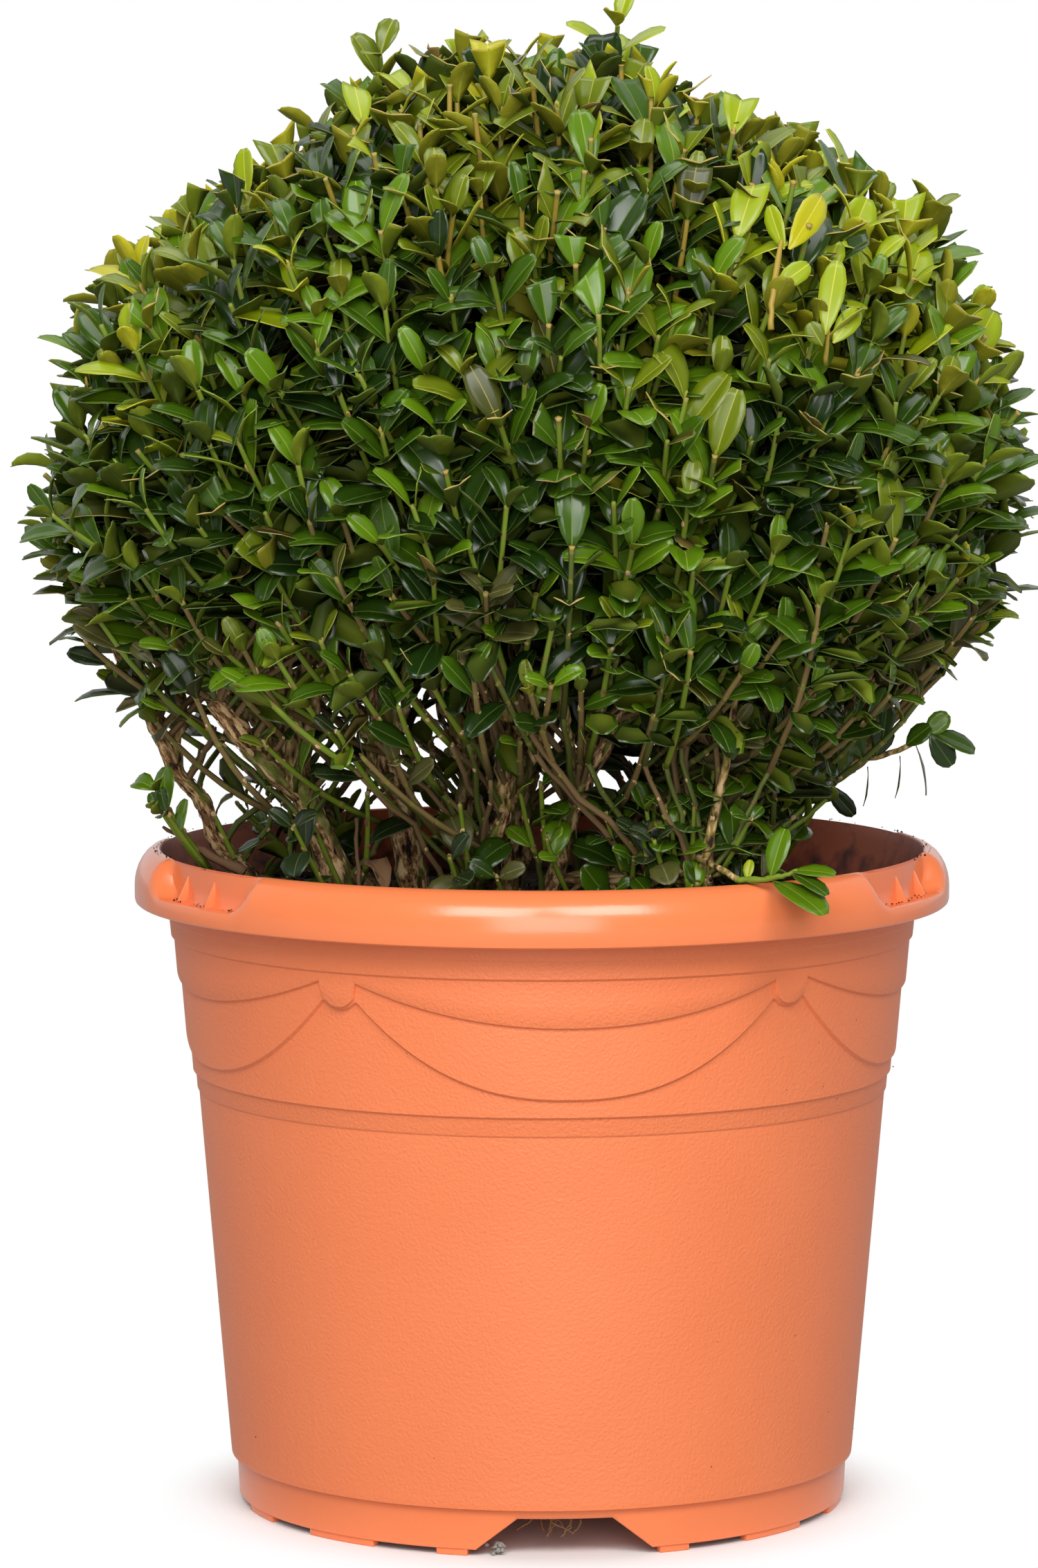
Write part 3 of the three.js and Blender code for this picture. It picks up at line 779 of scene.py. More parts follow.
# The surface of a CAD solid, in millimetres, to shoot rays at
def nodeSurface(name):
    mesh = nodes[name].data
    corners = [vertex.co / mm for vertex in mesh.vertices]
    return BVHTree.FromPolygons(corners, [tuple(face.vertices) for face in mesh.polygons])


crownSurface = nodeSurface("foliage_crown")


# Where the hedge shears passed: the distance from the heart of the ball to the crown's surface
def shearDistance(directions):
    reach = []
    for direction in directions:
        hit = crownSurface.ray_cast(Vector(heart), Vector(direction))[0]
        reach.append((hit - Vector(heart)).length if hit else 150)
    return np.array(reach)


# Even directions over a ball
def evenDirections(count, seed):
    index = np.arange(count) + 0.5
    height = 1 - 2 * index / count
    turn = index * math.pi * (3 - math.sqrt(5))
    flat = np.sqrt(1 - height ** 2)
    directions = np.stack([flat * np.cos(turn), flat * np.sin(turn), height], axis=-1)
    jitter = np.random.default_rng(seed).normal(0, 0.35 / math.sqrt(count) * 2, directions.shape)
    return unit(directions + jitter)


# Random values between two limits
def between(limits, count):
    return limits[0] + (limits[1] - limits[0]) * chance.random(count)


# Sprays as one row each: base, middle and tip of the stem, its length, the way out of the ball, how far out
# the shears passed there and whether they cut it, and the height that its tint goes by
def sprayRows(base, middle, tip, length, out, shear=400.0, clipped=False, **more):
    count = len(tip)
    return {"base": base, "middle": middle, "tip": tip, "length": length, "out": out,
            "shear": np.broadcast_to(shear, count), "clipped": np.broadcast_to(clipped, count),
            "zone": tip[:, 2], **more}


def crownSprays():
    out = evenDirections(growth["sprays"], 5)
    out = out[out[:, 2] > -0.56]
    reach = shearDistance(out)
    height = heart[2] + out[:, 2] * reach
    low = smooth(356, 300, height)                           # sparser towards the bare legs
    kept = chance.random(len(out)) > 0.5 * low
    out, reach, height, low = out[kept], reach[kept], height[kept], low[kept]
    top = smooth(0.35, 0.9, out[:, 2])
    reach = reach - growth["drawnIn"] - 14 * smooth(330, 296, height) - 3 * top
    count = len(out)
    for way, by in growth["trims"]:
        reach = reach + by * smooth(0.88, 0.98, out @ unit(np.array(way)))
    surface = heart + out * reach[:, None]
    polar = np.arccos(out[:, 2])
    bearing = np.arctan2(out[:, 1], out[:, 0]) + chance.normal(0, 0.2, count)
    lean = np.minimum(growth["lean"] * polar, 0.9) + chance.normal(0, 0.13, count)
    flat = np.stack([np.cos(bearing), np.sin(bearing)], axis=-1) * np.sin(lean)[:, None]
    direction = np.column_stack([flat, np.cos(lean)])
    clipped = chance.random(count) < (growth["clipped"] + growth["clippedOnTop"] * top) * (1 - 0.8 * low)
    shornInset, freeInset = between(growth["clippedInset"], count), between(growth["inset"], count)
    inset = np.where(clipped, shornInset, freeInset + 6 * top)
    inset = inset - np.where(chance.random(count) < growth["proud"], between(growth["proudBy"], count), 0)
    along = np.maximum(np.sum(direction * out, axis=1), 0.5)
    tip = surface - direction * (inset / along)[:, None] * 0.9
    length = between(growth["length"], count)
    middle = tip - direction * (length * 0.5)[:, None]
    inward = unit(heart * 0.6 + np.array(growth["focus"]) * 0.4 - middle)
    base = middle - unit(direction * 0.8 - inward * 0.45) * (length * 0.5)[:, None]
    return sprayRows(base, middle, tip, length, out, reach + chance.normal(0.5, 1.6, count), clipped,
                     zone=surface[:, 2], scale=0.66 + 0.34 * smooth(305, 405, surface[:, 2]))


sprays = crownSprays()
print("sprays placed:", len(sprays["tip"]))


# Points on the bent stems at shares t of their length
def stemPoint(shoots, t):
    t = t[..., None]
    base, middle, tip = (shoots[key][:, None] for key in ("base", "middle", "tip"))
    return (1 - t) ** 2 * base + 2 * t * (1 - t) * middle + t ** 2 * tip


def stemDirection(shoots, t):
    t = t[..., None]
    base, middle, tip = (shoots[key][:, None] for key in ("base", "middle", "tip"))
    return unit((1 - t) * (middle - base) + t * (tip - middle))


# Leaf tints: upper side, underside, rib and edge, and how rough the skin is
tints = {
    "deep": ("#162A08", "#404C14", "#435020", 0.24),
    "dark": ("#223808", "#4E5A18", "#4C6026", 0.24),
    "middle": ("#345008", "#606C1A", "#5D7228", 0.25),
    "fresh": ("#50700A", "#727E1C", "#758630", 0.28),
    "olive": ("#5E6C0C", "#84821E", "#8C8E32", 0.31),
    "lime": ("#84940A", "#AAA622", "#ACAA38", 0.34),
    "young": ("#A29E08", "#AEA61E", "#B8B03A", 0.36),
    "dusty": ("#4A4A20", "#5A5230", "#6A6440", 0.44),
    "shaded": ("#1C2A0E", "#343A18", "#46502E", 0.4),
    "bronze": ("#3D4210", "#6A5828", "#80743A", 0.34),
}
tintIndex = {name: index for index, name in enumerate(tints)}


# Living box leaf: a waxy cuticle, dark and glossy above, duller and olive below, with a pale rib and rim
def leafMaterials():
    made = []
    for name, (upper, under, line, rough) in tints.items():
        made.append(newMaterial("leaf_upper_" + name, upper, rough, Specular_IOR_Level=0.42))
        made.append(newMaterial("leaf_under_" + name, under, rough + 0.3, Specular_IOR_Level=0.18))
        made.append(newMaterial("leaf_rib_" + name, line, 0.5, Specular_IOR_Level=0.3))
    made.append(newMaterial("shorn_leaf_edge", "#A48C54", 0.8, Specular_IOR_Level=0.2))
    return made


leafSkins = leafMaterials()
shornEdge = len(leafSkins) - 1


# Half width of a box leaf along it, as a share of its widest: narrow at the stalk, broad past the middle
def leafOutline(t, cut):
    share = np.maximum(t, 1e-4) ** 0.85 * np.maximum(1 - t, 0) ** 0.55 / 0.3914
    share = np.maximum(share, 0.07)
    return np.where((t > 0.995) & ~cut, 0.32, share)


# Faces of one leaf: corner lists, and what each is: 0 upper side, 1 underside, 2 rib, 3 rim, 4 tip
def leafTemplate(rows, upperColumns, lowerColumns, ribs):
    faces, roles = [], []
    width = upperColumns + lowerColumns
    for row in range(rows - 1):
        here, there = row * width, (row + 1) * width
        for column in range(upperColumns - 1):
            faces.append([here + column, here + column + 1, there + column + 1, there + column])
            roles.append(2 if ribs and column == upperColumns // 2 - 1 else 0)
        low = upperColumns
        for column in range(lowerColumns - 1):
            faces.append([here + low + column + 1, here + low + column, there + low + column,
                          there + low + column + 1])
            roles.append(2 if ribs and column == lowerColumns // 2 - 1 else 1)
        faces.append([here + low, here, there, there + low])
        faces.append([here + low - 1, here + width - 1, there + width - 1, there + low - 1])
        roles += [3, 3]
    upper = list(range(upperColumns))
    lower = list(range(upperColumns, width))
    last = (rows - 1) * width
    faces.append([*upper[::-1], *lower])
    faces.append([last + i for i in [*upper, *lower[::-1]]])
    roles += [1, 4]
    return faces, np.array(roles)


# Points of many leaves at once. Each leaf bends back along its length and folds up along its rib.
def leafPoints(leaves, rows, upper, lower):
    t = rows[None, :] * leaves["cut"][:, None]
    isCut = (leaves["cut"] < 1)[:, None]
    half = leafOutline(t, isCut) * leaves["width"][:, None] / 2
    length = leaves["length"][:, None]
    points = []
    for columns, drop, spread in ((upper, 0.0, 0.0), (lower, -0.28, 0.12)):
        for column in columns:
            rib = abs(column) < 0.2
            across = column * 10 if rib else column * half + math.copysign(spread, column)
            rim = np.abs(across)
            height = rim * np.tan(leaves["fold"])[:, None] * (1 - 0.35 * (rim / (half + 0.2)) ** 2)
            height = height + drop + leaves["wave"][:, None] * np.sin(t * 9 + column * 2)
            slant = leaves["slant"][:, None] * across * (rows[None, :] ** 3) * isCut
            bend = leaves["curl"][:, None] * t + 1e-4
            distance = length * t
            forward = distance * np.sin(bend) / bend + height * np.sin(bend) + slant
            upward = -distance * (1 - np.cos(bend)) / bend + height * np.cos(bend)
            side = np.broadcast_to(across, t.shape)
            points.append(leaves["origin"][:, None] + side[..., None] * leaves["side"][:, None]
                          + forward[..., None] * leaves["along"][:, None]
                          + upward[..., None] * leaves["normal"][:, None])
    return np.stack(points, axis=2)


# Rows as shares of a leaf's length, and columns as shares of its half width
fineLeaf = {"rows": np.array([0, 0.2, 0.45, 0.70, 0.89, 1.0]), "upper": (-1, -0.5, -0.022, 0.022, 0.5, 1),
            "lower": (-1, -0.03, 0.03, 1)}
plainLeaf = {"rows": np.array([0, 0.34, 0.76, 1.0]), "upper": (-1, 0, 1), "lower": (-1, 1)}


def leafPiece(name, leaves, shape, slotName, *replaced):
    ribs = len(shape["upper"]) > 3
    faces, roles = leafTemplate(len(shape["rows"]), len(shape["upper"]), len(shape["lower"]), ribs)
    points = leafPoints(leaves, shape["rows"], shape["upper"], shape["lower"])
    count = len(leaves["length"])
    perLeaf = points.shape[1] * points.shape[2]
    template = np.concatenate([np.array(face) for face in faces])
    corners = (template[None, :] + np.arange(count)[:, None] * perLeaf).reshape(-1)
    counts = np.tile([len(face) for face in faces], count)
    tint = leaves["tint"][:, None]
    roleSlots = np.concatenate([tint * 3, tint * 3 + 1, tint * 3 + 2, tint * 3 + 2, tint * 3 + 2], axis=1)
    roleSlots[:, 4] = np.where(leaves["cut"] < 1, shornEdge, roleSlots[:, 4])
    slots = roleSlots[:, roles].reshape(-1)
    used, slots = np.unique(slots, return_inverse=True)
    shaded = np.tile(roles < 2, count)
    skins = [leafSkins[i] for i in used]
    piece = meshPiece(name, points.reshape(-1, 3), corners, counts, skins, slots, shaded)
    return finishPiece(piece, slotName, *replaced)


def pick(rows, chosen):
    return {key: value[chosen] for key, value in rows.items()}


def together(groups):
    return {key: np.concatenate([group[key] for group in groups]) for key in groups[0]}


# Opposite pairs of leaves, each pair turned a quarter from the last, down each stem from its tip. A leaf that
# reaches past the shears is cut there. Also gives the places of the pairs, as shares of the stems' length.
def dressStems(shoots, pairs, spacing, angles, sizes, shares, up=0.42, facing=(0.45, 0.75)):
    count = len(shoots["tip"])
    pair = np.arange(pairs)[None, :]
    gap = between(spacing, count)[:, None]
    first = np.where(shoots["clipped"], between((0.8, 5), count), between((0.5, 2), count))[:, None]
    down = first + pair * gap + chance.normal(0, 0.8, (count, pairs))
    t = 1 - down / shoots["length"][:, None]
    origin = stemPoint(shoots, t)
    tangent = stemDirection(shoots, t)
    aside = unit(np.cross(tangent, chance.normal(0, 1, (count, 1, 3)) + np.array([0.3, 0.2, 0.9])))
    other = np.cross(tangent, aside)
    turn = chance.random((count, 1)) * np.pi + pair * np.pi / 2 + chance.normal(0, 0.16, (count, pairs))
    radial = aside * np.cos(turn)[..., None] + other * np.sin(turn)[..., None]
    clipped = shoots["clipped"][:, None]
    out = shoots["out"][:, None]
    sizeShare = np.where(~clipped & (pair == 0), 0.62, 1) * np.where(~clipped & (pair == 1), 0.9, 1)
    age = np.clip(pair / 2.2, 0, 1)
    sides = []
    for sign in (-1, 1):
        opening = angles[0] + (angles[1] - angles[0]) * age + chance.normal(0, 0.13, (count, pairs))
        opening = opening[..., None]
        outward = radial * sign
        along = unit(tangent * np.cos(opening) + outward * np.sin(opening))
        normal = unit(tangent * np.sin(opening) - outward * np.cos(opening))
        light = unit(out * facing[0] + facing[1] * skyward)
        light = light - np.sum(light * along, axis=-1, keepdims=True) * along
        normal = unit(normal + light * up + chance.normal(0, 0.1, normal.shape))
        normal = unit(normal - np.sum(normal * along, axis=-1, keepdims=True) * along)
        size = between(sizes, (count, pairs)) * shoots.get("scale", np.ones(count))[:, None] * sizeShare
        start = origin + outward * 0.8
        limit = shoots["shear"][:, None] - np.sum((start - heart) * out, axis=-1)
        rise = np.sum(along * out, axis=-1) * size
        limit = limit + np.where(clipped, np.minimum(chance.exponential(2, limit.shape), 9), 60)
        cut = np.where(rise > 0.5, limit / np.maximum(rise, 0.5), 9)
        cut = np.where(cut > 0.93, 1.0, cut)                 # one cut so near its tip is left whole
        shape = (count, pairs)
        made = {
            "origin": start, "along": along, "normal": normal, "side": np.cross(along, normal),
            "length": size, "width": size * between(shares, shape), "fold": chance.normal(0.33, 0.12, shape),
            "curl": chance.normal(0.54, 0.3, shape), "wave": chance.normal(0, 0.14, shape), "cut": cut,
            "slant": chance.normal(0, 0.45, shape), "pair": np.broadcast_to(pair, shape),
            "spray": np.broadcast_to(np.arange(count)[:, None], shape),
        }
        sides.append(pick(made, (cut > 0.32) & (t > 0.06)))
    return together(sides), t


# The young sprays that show at the front: across and up, in millimetres
youngAt = ((78, 500, "young"), (92, 470, "lime"), (52, 534, "lime"), (-19, 534, "young"), (60, 505, "lime"),
           (-63, 540, "lime"), (20, 552, "lime"), (-150, 473, "young"), (160, 452, "lime"), (96, 492, "lime"),
           (-110, 500, "lime"), (120, 500, "lime"), (10, 540, "lime"))


# The tint of each spray: young growth near the top, more of it to the right, and dull leaves low down
def dealTints(shoots):
    height = (shoots["zone"] - 300) / 240 + chance.normal(0, 0.09, len(shoots["tip"]))
    right = shoots["out"][:, 0]
    draw = chance.random(len(shoots["tip"])) + 0.1 * smooth(0.45, 0.9, np.abs(right))
    high = height > 0.66
    low = height < 0.12
    tint = np.full(len(draw), tintIndex["middle"])
    for name, chosen in (("dark", draw < 0.36), ("deep", draw < 0.14), ("fresh", draw > 0.80),
                         ("fresh", high & (draw > 0.45)), ("olive", high & (draw > 0.62)),
                         ("lime", high & (draw > 0.91 - 0.12 * right)),
                         ("young", (height > 0.5) & (draw > 0.982) & (shoots["tip"][:, 1] > 40)),
                         ("shaded", low & (draw < 0.2)), ("dusty", low & (draw > 0.82))):
        tint[chosen] = tintIndex[name]
    facing = np.where(shoots["out"][:, 1] < 0.2, 0, 999)
    for x, z, name in youngAt:
        apart = np.hypot(shoots["tip"][:, 0] - x, shoots["tip"][:, 2] - z) + facing
        tint[np.argmin(apart)] = tintIndex[name]
    return tint


# Within a spray the older leaves are darker and the last pair lighter. Clipped ones high up are lime.
def dealLeafTints(leaves, sprayTints):
    tint = sprayTints[leaves["spray"]].copy()
    draw = chance.random(len(tint))
    older = (leaves["pair"] > 1) & (tint < 5) & (draw < 0.5)
    tint[older] = np.maximum(tint[older] - 1, 0)
    newer = (leaves["pair"] == 0) & (tint < 4) & (draw > 0.45)
    tint[newer] += 1
    shorn = sprays["clipped"][leaves["spray"]] & (sprays["zone"][leaves["spray"]] > 500)
    tint[shorn & (leaves["pair"] == 0) & (draw < 0.7)] = tintIndex["lime"]
    odd = (tint < 4) & (draw > 0.975)
    tint[odd] = tintIndex["bronze"]
    leaves["tint"] = tint


sprayTints = dealTints(sprays)
crownLeaves, crownPairs = dressStems(sprays, growth["pairs"], growth["spacing"], growth["opening"],
                                     growth["leafLength"], growth["leafShare"], up=0.03)
dealLeafTints(crownLeaves, sprayTints)
print("crown leaves:", len(crownLeaves["length"]))


sprayNodes = sorted(name for name in nodes if name.startswith("spray_"))
lowNodes = sorted(name for name in nodes if name.startswith("foliage_low"))


# Under the right bough the sky shows: true for points that lie beyond it
def beyondBough(points):
    return (points[:, 2] < 325) & (points[:, 0] > 92 + 0.72 * (points[:, 2] - 258))


innerGrowth = {
    "sprays": 440, "reach": (0.5, 0.84), "length": (40, 60), "spacing": (9, 13), "leafLength": (20, 26),
}


# Short leafy sprays that fill the ball behind the outer ones
def innerSprays():
    out = unit(chance.normal(0, 1, (innerGrowth["sprays"], 3)))
    reach = shearDistance(out)
    tip = heart + out * (reach * between(innerGrowth["reach"], len(out)))[:, None]
    kept = (tip[:, 2] > 368) | ((tip[:, 2] > 322) & (tip[:, 1] > 8)) | ((tip[:, 2] > 280) & (tip[:, 0] > 5))
    kept &= ~beyondBough(tip)
    out, reach, tip = out[kept], reach[kept], tip[kept]
    direction = unit(out * 0.6 + 0.6 * skyward + chance.normal(0, 0.25, out.shape))
    length = between(innerGrowth["length"], len(out))
    middle = tip - direction * length[:, None] / 2
    base = middle - unit(direction + 0.3 * skyward) * length[:, None] / 2
    return sprayRows(base, middle, tip, length, out, reach)


# Limb points that twigs may leave, with the way the limb runs there
limbPoints = np.concatenate([line[8::4] for line, _ in limbs.values()])
limbWays = np.concatenate([unit(np.gradient(line, axis=0))[8::4] for line, _ in limbs.values()])
lowGrowth = {
    "perMass": 9, "spacing": (8.5, 13), "leafLength": (12, 20), "leafShare": (0.56, 0.76),
    "perMassOf": {"foliage_low_left": 4, "foliage_low_front_left": 4, "foliage_low_front": 9,
                  "foliage_low_front_right": 32, "foliage_low_right": 26},
    "length": (34, 52), "basalShoots": 14, "basalLength": (55, 100), "basalSpacing": (13, 22),
    "basalLeaf": (10, 16), "forks": 30, "forkThick": (1.7, 3.6), "forkReach": (0.35, 0.86),
}
branching = {"boughlets": 74, "boughletReach": 0.44, "twigs": 300, "twigReach": 0.68}


# The nearest parent that lies well below its child, and at least so far away
def nearestBelow(children, parents, least):
    apart = children[:, None] - parents[None]
    distance = np.linalg.norm(apart, axis=2)
    flat = np.linalg.norm(apart[:, :, :2], axis=2)
    cost = distance + 2.0 * np.maximum(0, 6 + 0.8 * flat - apart[:, :, 2])
    return np.argmin(np.where(distance < least, 999, cost), axis=1)


# Curved lines that leave one place and reach another along given ways
def branchLines(starts, startWays, ends, endWays, steps):
    t = np.linspace(0, 1, steps)[None, :, None]
    reach = np.linalg.norm(ends - starts, axis=1)[:, None, None]
    straight = unit(ends - starts)
    m0, m1 = (unit(way + 1.2 * straight)[:, None] * reach * 0.8 for way in (startWays, endWays))
    line = ((2 * t ** 3 - 3 * t ** 2 + 1) * starts[:, None] + (t ** 3 - 2 * t ** 2 + t) * m0
            + (3 * t ** 2 - 2 * t ** 3) * ends[:, None] + (t ** 3 - t ** 2) * m1)
    wander = chance.normal(0, 0.012, line.shape) * reach * np.sin(np.pi * t)
    return line + wander


# Small kinks along many lines, none at their ends
def jagged(count, steps, seed):
    kinks = [[valueNoise(np.arange(steps) * 0.62, np.full(steps, 2.0 * i), seed + k) - 0.5 for k in range(3)]
             for i in range(count)]
    return np.stack(kinks).transpose(0, 2, 1) * np.sin(np.pi * np.linspace(0, 1, steps))[None, :, None]


# Woody forks that leave the stems low down and fan out straight to the underside of the crown
def growForks():
    count = lowGrowth["forks"]
    bearing = (np.arange(count) + 0.7 * chance.random(count)) / count * 2 * np.pi
    rise = between((-0.52, -0.08), count)
    way = unit(np.stack([np.cos(bearing), np.sin(bearing), rise], axis=-1))
    end = heart + way * (shearDistance(way) * between(lowGrowth["forkReach"], count))[:, None]
    way, end = way[~beyondBough(end)], end[~beyondBough(end)]
    count = len(end)
    low = limbPoints[:, 2] < 285
    cost = np.linalg.norm(end[:, None] - limbPoints[None, low], axis=2)
    cost = np.abs(cost - 85) + 25 * chance.random(cost.shape)
    parent = np.argmin(cost, axis=1)
    start, startWay = limbPoints[low][parent], limbWays[low][parent]
    straight = unit(end - start)
    steps = 24
    endWay = unit(straight + 0.3 * skyward)
    lines = branchLines(start, unit(straight + startWay * 0.25), end, endWay, steps)
    lines = lines + jagged(count, steps, 300) * 3.4
    thick = between(lowGrowth["forkThick"], count)[:, None]
    radii = thick + (1.1 - thick) * np.linspace(0, 1, steps)[None, :]
    knots = 1 + 0.34 * (chance.random((count, steps)) < 0.24) + 0.12 * chance.random((count, steps))
    return lines, radii * knots


# Branching: main limbs, then boughlets, then twigs, then the leafy sprays
def growBranches(children, forkLines):
    places = np.vstack([limbPoints, forkLines[:, -1]])
    ways = np.vstack([limbWays, unit(forkLines[:, -1] - forkLines[:, -3])])
    lines = []

    def grow(ends, endWays, least, steps, thick, sides):
        parent = nearestBelow(ends, places, least)
        lines.append((branchLines(places[parent], ways[parent], ends, endWays, steps), thick, sides))

    for count, seed, lowest, reach, lift, least, steps, thick, sides in (
            (branching["boughlets"], 21, -0.35, branching["boughletReach"], 0.4, 20, 12, (2.1, 1.7), 6),
            (branching["twigs"], 22, -0.45, branching["twigReach"], 0.3, 15, 10, (1.6, 1.2), 5)):
        out = evenDirections(count, seed)
        out = out[out[:, 2] > lowest]
        ends = heart + out * (shearDistance(out) * reach)[:, None]
        endWays = unit(unit(ends - np.array(growth["focus"])) + lift * skyward)
        grow(ends, endWays, least, steps, thick, sides)
        places, ways = np.vstack([places, ends]), np.vstack([ways, endWays])
    for shoots in children:
        grow(shoots["base"], unit(shoots["middle"] - shoots["base"]), 8, 8, (1.3, 1.0), 4)
    return lines


# One piece of many tubes: each group is lines, radii, sides, and one material slot or a slot for every face
def tubePiece(name, groups, materials, slotName, *replaced):
    points, corners, counts, slots = [], [], [], []
    offset = 0
    for lines, radii, sides, slot in groups:
        rings = tubeRings(lines, radii, sides)
        face, count = tubeFaces(len(lines), lines.shape[1], sides)
        points.append(rings.reshape(-1, 3))
        corners.append(face + offset)
        counts.append(count)
        slots.append(np.broadcast_to(slot, len(count)))
        offset += rings.shape[0] * rings.shape[1] * sides
    points, corners, counts, slots = (np.concatenate(part) for part in (points, corners, counts, slots))
    return finishPiece(meshPiece(name, points, corners, counts, materials, slots), slotName, *replaced)


# Bark of the forks: streaked brown, tan and green along the wood, each streak some 2 mm wide
youngBark, _, _ = grainedMaterial(
    "young_bark", "#6B5636", 0.8, 0.3, {"Scale": 1 / (2.2 * mm), "Detail": 4.0},
    [(0.34, "#2C1E13"), (0.42, "#765636"), (0.48, "#7F7A34"), (0.54, "#A8854F"), (0.62, "#D6B688")],
    0.9, 0.4, stretch=(1.0, 1.0, 0.3))

# Young box wood: brown and dull on twigs, green or amber and smoother on this year's shoots
twigBark = newMaterial("twig_bark", "#7A6240", 0.8, Specular_IOR_Level=0.3)
greenShoot = newMaterial("green_shoot", "#6F8422", 0.5, Specular_IOR_Level=0.4)
shadedShoot = newMaterial("shaded_shoot", "#5A6428", 0.6, Specular_IOR_Level=0.35)
amberShoot = newMaterial("amber_shoot", "#98812F", 0.5, Specular_IOR_Level=0.4)
nodeScar = newMaterial("leaf_node", "#7F7B36", 0.6, Specular_IOR_Level=0.3)
shornEnd = newMaterial("shorn_stem_end", "#A48B4C", 0.8, Specular_IOR_Level=0.2)
youngWood = newMaterial("young_wood", "#7E6A3E", 0.75, Specular_IOR_Level=0.3)


# The sprays' own stems, as a group for tubePiece: rings close together at each pair of leaves, where a pale
# scar shows, and a dry end where the shears went through
def shootGroup(shoots, nodesAt, thick, plain):
    count = len(nodesAt)
    half = 0.9 / shoots["length"][:, None]
    top = nodesAt[:, :1] + 1.8 / shoots["length"][:, None]
    t = np.concatenate([np.zeros((count, 1)), nodesAt - half, nodesAt + half, top], axis=1)
    t = np.sort(np.clip(t, 0, 1), axis=1)
    lines = stemPoint(shoots, t)
    radii = thick[0] + (thick[1] - thick[0]) * t
    radii = radii * (1 + 0.14 * (chance.random(radii.shape)))
    radii[:, -1] *= np.where(shoots["clipped"], between((1.0, 1.35), count), 0.7)
    sides = 5
    isNode = np.zeros(t.shape[1] - 1, bool)
    isNode[1:-1:2] = True
    ends = np.where(shoots["clipped"], 4, plain)[:, None]
    slot = np.repeat(np.where(isNode[None, :], 3, plain[:, None]), sides, axis=1)
    slot[:, -sides:] = ends
    return lines, radii, sides, np.concatenate([slot, plain[:, None], ends], axis=1).reshape(-1)


inner = innerSprays()
innerLeaves, innerPairs = dressStems(inner, 5, innerGrowth["spacing"], (0.6, 1.1), innerGrowth["leafLength"],
                                     growth["leafShare"])
# Leaves inside the ball take only the two darkest tints, deep and shaded, as painted shade
innerLeaves["tint"] = np.where(chance.random(len(innerLeaves["length"])) < 0.5, tintIndex["deep"],
                               tintIndex["shaded"])


# Sprays of rounder leaves in the low masses, each growing up and out from the nearest limb
def lowSprays():
    tips, outs = [], []
    for name in lowNodes:
        lowest, highest = (np.array(corner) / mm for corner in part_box(name))
        middle, half = (lowest + highest) / 2, (highest - lowest) / 2
        count = lowGrowth["perMassOf"].get(name, lowGrowth["perMass"])
        way = unit(chance.normal(0, 1, (count, 3)) + 0.35 * skyward)
        tips.append(middle + way * half * between((0.5, 0.98), len(way))[:, None])
        outs.append(unit(np.array([middle[0], middle[1], 0.0]) + way * 60))
    tip, out = np.concatenate(tips), np.concatenate(outs)
    tip[:, 0] = np.where(beyondBough(tip), 0.62 * tip[:, 0], tip[:, 0])
    start = limbPoints[nearestBelow(tip, limbPoints, 22)]
    rise = unit(tip - start)
    direction = unit(rise * 0.5 + out * 0.3 + 0.65 * skyward)
    length = np.minimum(between(lowGrowth["length"], len(tip)), np.linalg.norm(tip - start, axis=1) * 0.8)
    middle = tip - direction * length[:, None] / 2
    base = middle - unit(direction * 0.6 + rise * 0.5) * length[:, None] / 2
    return sprayRows(base, middle, tip, length, out)


# Thin shoots that rise from the feet of the stems towards the crown, fewer of them at the front left
def basalShoots():
    count = lowGrowth["basalShoots"]
    low = limbPoints[(limbPoints[:, 2] < 285) & (limbPoints[:, 2] > 232)]
    low = low[(low[:, 0] > 0) | (low[:, 1] > 0) | (chance.random(len(low)) < 0.35)]
    start = low[chance.integers(0, len(low), count)]
    aside = unit(start * np.array([1, 1, 0]) + chance.normal(0, 28, (count, 3)) * np.array([1, 1, 0]))
    direction = unit(aside * between((0.15, 0.5), count)[:, None] + skyward)
    length = between(lowGrowth["basalLength"], count)
    middle = start + unit(direction + aside * 0.25) * length[:, None] / 2
    tip = middle + unit(direction + 0.3 * skyward) * length[:, None] / 2
    return sprayRows(start, middle, tip, length, aside)


# Sprays that stand out of the ball, each ending at the far tip of its own modelled mass
def outlierSprays():
    tips, ways = [], []
    for name in sprayNodes:
        points = np.array([v.co / mm for v in nodes[name].data.vertices])
        far = points[np.argmax(np.linalg.norm(points - heart, axis=1))]
        near = points[np.argmin(np.linalg.norm(points - heart, axis=1))]
        tips.append(far * 0.96 + near * 0.04)
        ways.append(unit(unit(far - near) * 0.8 + 0.3 * skyward))
    tip, direction = np.array(tips), np.array(ways)
    length = np.full(len(tip), 66.0)
    tip = tip - direction * 11
    middle = tip - direction * 33
    base = middle - unit(direction * 0.7 + unit(tip - heart) * 0.4) * 33
    return sprayRows(base, middle, tip, length, unit(tip - heart))


# Tints by given shares, much the same within a spray
def scatterTints(leaves, shoots, shares):
    draw = chance.random(len(shoots["tip"]))[leaves["spray"]] + chance.normal(0, 0.08, len(leaves["length"]))
    limits = np.cumsum(list(shares.values()))[:-1]
    order = np.array([tintIndex[name] for name in shares])
    leaves["tint"] = order[np.searchsorted(limits, draw)]


